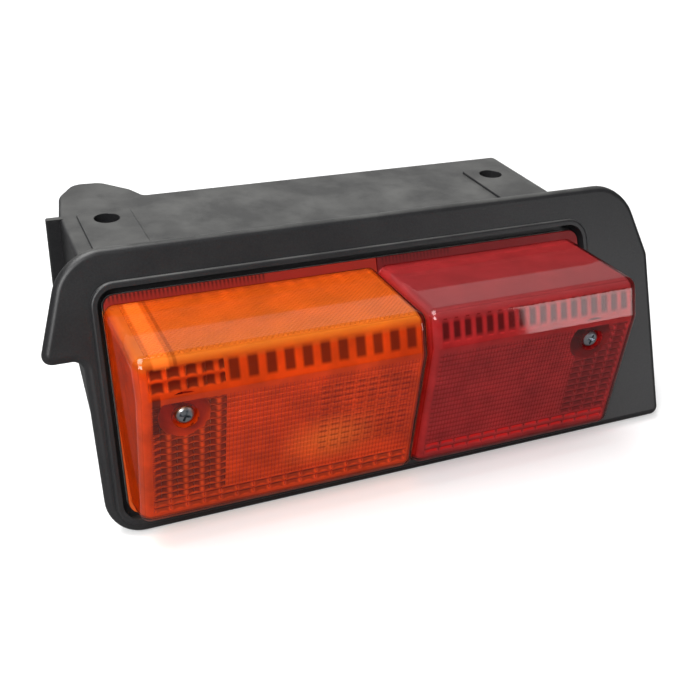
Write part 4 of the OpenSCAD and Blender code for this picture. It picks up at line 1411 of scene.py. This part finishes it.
@dataclass
class Housing:
    """The black moulding: front frame, rim, ledge, rear box with its lobe, pads, web and ribs."""

    frame_corners: tuple[Corner, ...] = (
        (-116, -101, 14), (142.6, -100, 4), (142.6, -24, 6), (131.7, 9.5, 20), (-118.68, 9.5, 20),
        (-131.9, -31.5, 4), (-116, -31.5, 4),
    )
    plan: tuple[Corner, ...] = (
        (-110.5, -100, 2), (108.5, -100, 2), (108.5, 25.5, 3), (-70.5, 25.5, 2), (-74.5, 34.5, 5),
        (-85.5, 47, 7), (-98.5, 47.98, 7), (-106.5, 34.5, 12), (-110.5, 9.5, 12),
    )
    side: tuple[Corner, ...] = (
        (-88.4, -87.5, 0), (-43, -84, 0), (29, -44, 0), (100, -44, 0), (100, 100, 0), (-88.4, 100, 0),
    )
    base_window: tuple[Corner, ...] = ((-101.5, -82.6, 5), (98, -82.6, 5), (98, -16.6, 5), (-101.5, -16.6, 5))
    web_window: tuple[Corner, ...] = ((-72, -70, 6), (68, -70, 6), (68, -30, 6), (-72, -30, 6))
    frame_t: float = 4.0
    frame_r: float = 3.0
    frame_back_r: float = 0.4
    rim_w: float = 2.6
    rim_h: float = 1.6
    rim_r: float = 1.2
    wall: float = 3.5
    top: float = -1.0
    top_r: float = 2.0
    inner_r: float = 0.8
    box_h: float = 115.0
    ledge_y: float = 5.5
    ledge_t: float = 3.0
    ledge_w: float = 8.5
    bolts: tuple[float, float] = (-92.0, 92.0)
    bolt_r: float = 5.25
    bolt_edge_r: float = 0.35
    pad_w: float = 23.0
    pad_front: float = -45.1
    pad_back: float = 9.0
    pad_r: float = 3.0
    pad_edge_r: float = 0.5
    web_low: tuple[float, float] = (-108.5, -84.0)
    web_high: tuple[float, float] = (106.5, -2.5)
    web_rear: float = -43.0
    web_t: float = 3.0
    rib_xs: tuple[float, float] = (-46.0, 46.0)
    rib_t: float = 3.0
    rib_bottom: float = -18.5
    rib_rear: float = 23.8
    screw_xs: tuple[float, float] = (-94.5, 89.0)
    screw_zs: tuple[float, float] = (-25.5, -76.0)
    screw_r: float = 1.7
    boss_l: float = 8.2
    boss_r: float = 3.2
    grommet_z: float = -24.0
    grommet_r: float = 6.0
    fin_low: Corner = (-116.0, 6.6, -44.0)
    fin_high: Corner = (-108.7, 9.6, -1.0)
    fin_edge_r: float = 0.6
    sink: float = 0.2
    reach: float = 300.0

    def stand(self, piece: Piece) -> Piece:
        """Turns what was raised along Y so that its front faces up."""
        piece.rotation_euler = (-math.pi / 2, 0, 0)
        settle(piece)
        return piece

    def frame(self) -> Piece:
        """Models the leaning frame with its rolled edge, the raised rim and the wall behind them.

        Returns:
            The frame, laid on its slope.
        """
        piece = plate("housing_moulding", list(self.frame_corners), 0, self.frame_t, 12)
        roll_edge(piece, FORWARD, self.frame_r, 8)
        roll_edge(piece, -FORWARD, self.frame_back_r, 2)
        rim = plate("rim", OPENING.corners(-self.rim_w), -self.rim_h, self.sink, 12)
        roll_edge(rim, FORWARD, self.rim_r, 6)
        combine(piece, rim, "UNION")
        collar_rear = self.ledge_y + self.ledge_t
        collar = plate("collar", OPENING.corners(-self.wall), self.frame_t - 0.3, collar_rear, 12)
        combine(piece, collar, "UNION")
        return SLOPE.lay(piece)

    def box(self) -> Piece:
        """Models the rear box: rounded top, lobe, lower edge that rises to the rear, web, ribs and bosses.

        Returns:
            The box, cut off behind the frame's face.
        """
        plan = list(self.plan)
        piece = plate("box", plan, -self.top, self.box_h, 14)
        roll_edge(piece, FORWARD, self.top_r, 8)
        hollow = plate("hollow", inset_corners(plan, self.wall), self.wall - self.top, self.box_h + 15, 14)
        roll_edge(hollow, FORWARD, self.inner_r, 3)
        combine(piece, hollow, "DIFFERENCE")
        self.stand(piece)
        side = plate("side", list(self.side), -self.reach, self.reach)
        side.rotation_euler = (0, 0, math.pi / 2)
        settle(side)
        combine(piece, side, "INTERSECT")
        (x0, z0), (x1, z1) = self.web_low, self.web_high
        web = block("web", mm(x0, self.web_rear - self.web_t, z0), mm(x1, self.web_rear, z1))
        combine(piece, web, "UNION")
        front, half = self.web_rear - self.sink, self.rib_t / 2
        for x in self.rib_xs:
            rib = block("rib", mm(x - half, front, self.rib_bottom), mm(x + half, self.rib_rear, z1))
            combine(piece, rib, "UNION")
        for x, z in self.screws():
            combine(piece, bar("boss", mm(x, front, z), self.boss_l, self.boss_r, self.boss_r), "UNION")
        room = block("front", mm(-self.reach, -self.reach, -self.reach), mm(self.reach, 2.0, self.reach))
        combine(piece, SLOPE.lay(room), "DIFFERENCE")
        return piece

    def screws(self) -> list[tuple[float, float]]:
        """Returns the X and Z of each screw that holds the lamp base."""
        return [(x, z) for x in self.screw_xs for z in self.screw_zs]

    def fin(self) -> Piece:
        """Models the upright fin on the left, with its free edges rounded.

        Returns:
            The fin.
        """
        fin = block("fin", mm(*self.fin_low), mm(*self.fin_high))
        free = (self.fin_low[0] + 0.1) * MM
        with editing(fin):
            pick(fin, Pick.EDGES, lambda e: all(v.co.x < free for v in e.verts))
            round_picked(self.fin_edge_r, 4)
        return fin

    def pads(self, piece: Piece) -> None:
        """Raises the pads round the bolt holes.

        Args:
            piece: The housing.
        """
        for x in self.bolts:
            left, right = x - self.pad_w / 2, x + self.pad_w / 2
            front, back = self.pad_front, self.pad_back
            places = ((left, front), (right, front), (right, back), (left, back))
            pad = plate("pad", [(*place, self.pad_r) for place in places], 0, self.wall - self.top - 0.1)
            roll_edge(pad, FORWARD, self.pad_edge_r, 4)
            combine(piece, self.stand(pad), "UNION")

    def cuts(self) -> Iterator[Piece]:
        """Makes what cuts the lens opening down to its ledge, and the windows for the lamp base.

        Yields:
            One cutting piece at a time.
        """
        ahead = -10.0
        yield SLOPE.lay(plate("cutter", OPENING.corners(), ahead, self.ledge_y, 12))
        deep = self.ledge_y + self.ledge_t + self.sink
        yield SLOPE.lay(plate("cutter", OPENING.corners(self.ledge_w), ahead, deep, 12))
        yield plate("cutter", list(self.base_window), -100, self.web_rear - self.web_t)

    def holes(self) -> Iterator[Piece]:
        """Makes what cuts the bolt holes, the web's window, the screw holes and the cable's inlet.

        Yields:
            One cutting piece at a time.
        """
        for x in self.bolts:
            yield self.stand(bar("cutter", mm(x, -20, 0), 70, self.bolt_r, self.bolt_r, 96))
        yield plate("cutter", list(self.web_window), self.web_rear - 6, self.web_rear + 1)
        for x, z in self.screws():
            yield bar("cutter", mm(x, self.web_rear - 5, z), 20, self.screw_r, self.screw_r)
        yield bar("cutter", mm(0, 20, self.grommet_z), 10, self.grommet_r, self.grommet_r, 64)

    def mouth(self, edge: Edge) -> bool:
        """Tests an edge.

        Args:
            edge: An edge of the housing.

        Returns:
            Whether it runs round a bolt hole at the pads' face.
        """
        return all(
            abs(v.co.z) < NEAR
            and any(abs((v.co - mm(x, 0, 0)).length - self.bolt_r * MM) < 3 * NEAR for x in self.bolts)
            for v in edge.verts
        )

    def build(self, material: Material) -> None:
        """Models and dresses the housing.

        Args:
            material: Its finish.
        """
        piece = self.frame()
        combine(piece, self.box(), "UNION")
        combine(piece, self.fin(), "UNION")
        for cutter in self.cuts():
            combine(piece, cutter, "DIFFERENCE")
        self.pads(piece)
        for cutter in self.holes():
            combine(piece, cutter, "DIFFERENCE")
        with editing(piece):
            pick(piece, Pick.EDGES, self.mouth)
            round_picked(self.bolt_edge_r, 3)
        smooth(piece)
        paint(piece, [material])
        adopt(piece, "black_housing", "housing")


# Studio


@dataclass
class Studio:
    """Camera, floor, lamps and sky."""

    focal: float = 52.69
    yaw: float = 24.143
    pitch: float = 29.218
    roll: float = 2.400
    distance: float = 442.897
    target: Vector = field(default_factory=lambda: mm(-2.145, -53.353, -51.663))
    aim: Vector = field(default_factory=lambda: mm(10, -60, -40))
    floor_gap: float = 0.5

    def camera(self) -> None:
        """Places the camera where the photograph was taken from."""
        yaw, pitch, roll = (math.radians(v) for v in (self.yaw, self.pitch, self.roll))
        ahead = Vector((math.sin(yaw) * math.cos(pitch), math.cos(yaw) * math.cos(pitch), -math.sin(pitch)))
        right = ahead.cross(Vector((0, 0, 1))).normalized()
        up = right.cross(ahead)
        x_axis = right * math.cos(roll) + up * math.sin(roll)
        y_axis = up * math.cos(roll) - right * math.sin(roll)
        data = bpy.data.cameras.new("camera")
        data.lens = self.focal
        data.sensor_width = 36.0
        data.clip_start = 0.01
        camera = bpy.data.objects.new("camera", data)
        turn = Matrix((x_axis, y_axis, -ahead)).transposed().to_4x4()
        camera.matrix_world = Matrix.Translation(self.target - ahead * self.distance * MM) @ turn
        bpy.context.scene.collection.objects.link(camera)
        bpy.context.scene.camera = camera

    def lamp(self, name: str, place: Vector, size: tuple[float, float], power: float) -> None:
        """Adds a soft box that faces the object.

        Args:
            name: The lamp's name.
            place: Where it stands, in metres.
            size: Width and height in metres.
            power: Power in watts.
        """
        data = bpy.data.lights.new(name, "AREA")
        data.shape = "RECTANGLE"
        data.size, data.size_y = size
        data.energy = power
        lamp = bpy.data.objects.new(name, data)
        lamp.location = place
        lamp.rotation_euler = (self.aim - place).to_track_quat("-Z", "Y").to_euler()
        bpy.context.scene.collection.objects.link(lamp)

    def sky(self) -> None:
        """Gives a sky that is white where the camera sees it, a softer light to other rays and a faint one in
        reflections.
        """
        world = bpy.data.worlds.new("sky")
        world.use_nodes = True
        bpy.context.scene.world = world
        tree = Tree(world.node_tree)
        back = next(n for n in world.node_tree.nodes if n.type == "BACKGROUND")
        rays = tree.add("ShaderNodeLightPath").outputs
        seen = tree.math("SUBTRACT", rays["Is Camera Ray"], tree.math("MULTIPLY", rays["Is Glossy Ray"], 0.4))
        tree.fill(back, Color=WHITE, Strength=tree.between(seen, -0.4, 1.0, 0.08, 1.2))

    def floor(self, height: float) -> None:
        """Lays a pale floor that keeps the object's shadow and that glossy fronts see dimly.

        Args:
            height: Its height in metres.
        """
        floor = start("floor", bpy.ops.mesh.primitive_plane_add, size=6.0, location=(0, 0, height))
        settle(floor)
        material, tree, shader = new_material("floor")
        rays = tree.add("ShaderNodeLightPath").outputs
        away = tree.add("ShaderNodeVectorMath", operation="LENGTH")
        tree.feed(away.inputs[0], tree.coordinates())
        far = tree.between(away.outputs["Value"], 0.35, 0.9, 0.3, 1.0)
        tree.fill(
            shader, Base_Color=tree.blend(rays["Is Glossy Ray"], (0.7, 0.7, 0.7), (0.14, 0.14, 0.14)),
            Roughness=0.9, Emission_Color=WHITE,
            Emission_Strength=tree.math("MULTIPLY", rays["Is Camera Ray"], far),
        )
        floor.data.materials.append(material)
        floor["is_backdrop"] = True

    def card(self, name: str, place: Vector, size: tuple[float, float], dim: float, glow: float) -> None:
        """Stands a white card behind the object, which its top reflects.

        Args:
            name: The card's name.
            place: Its middle, in metres.
            size: Width and height in metres.
            dim: How much its left end glows.
            glow: How much its right end glows.
        """
        upright = (math.pi / 2, 0, 0)
        card = start(name, bpy.ops.mesh.primitive_plane_add, size=1.0, location=place, rotation=upright)
        card.scale = (*size, 1.0)
        settle(card)
        material, tree, shader = new_material(name)
        rays = tree.add("ShaderNodeLightPath").outputs
        across = tree.between(tree.axes(tree.coordinates())["X"], 0.45, 0.8, dim, glow)
        tree.fill(
            shader, Base_Color=(0.45, 0.45, 0.45), Roughness=1.0, Emission_Color=WHITE,
            Emission_Strength=tree.math("MULTIPLY_ADD", rays["Is Glossy Ray"], across, rays["Is Camera Ray"]),
        )
        card.data.materials.append(material)
        card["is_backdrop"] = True

    def build(self) -> None:
        """Sets up the whole studio."""
        bpy.context.scene.view_settings.view_transform = "Standard"
        self.camera()
        self.sky()
        low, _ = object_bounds()
        self.floor(low[2] - self.floor_gap * MM)
        self.card("back_card", Vector((0.2, 1.3, 0.45)), (3.2, 1.1), 0.0, 0.12)
        self.lamp("top_box", Vector((-0.3, 0.05, 0.92)), (0.8, 0.6), 12.0)
        self.lamp("right_box", Vector((0.72, -0.95, 0.06)), (0.30, 0.50), 1.8)
        self.lamp("front_box", Vector((-0.55, -0.7, 0.6)), (0.5, 0.5), 9.0)


def dress_solids(effects: Effects) -> dict[str, Material]:
    """Gives every solid the finish of its slot.

    Args:
        effects: The shared node groups.

    Returns:
        The materials by slot.
    """
    materials = {slot: finish.build(effects) for slot, finish in FINISHES.items()}
    for row in frame["record"]["subparts"]:
        solid = frame["nodes"][row["node"]]
        solid.data.materials.clear()
        solid.data.materials.append(materials[row["material_slot"]])
        LOG.info("%s: %s", row["node"], row["material_slot"])
    return materials


def main() -> None:
    """Builds the dressed part and its studio."""
    logging.basicConfig(level=logging.INFO, format="%(name)s %(message)s")
    effects = Effects()
    materials = dress_solids(effects)
    for lens, prisms, rim in ((amber_lens(), AMBER_PRISMS, AMBER_RIM), (red_lens(), RED_PRISMS, RED_RIM)):
        lens.build([materials[lens.slot], prisms.build(effects), rim.build(effects)])
    Housing().build(materials["black_housing"])
    Studio().build()


if __name__ == "__main__":
    main()
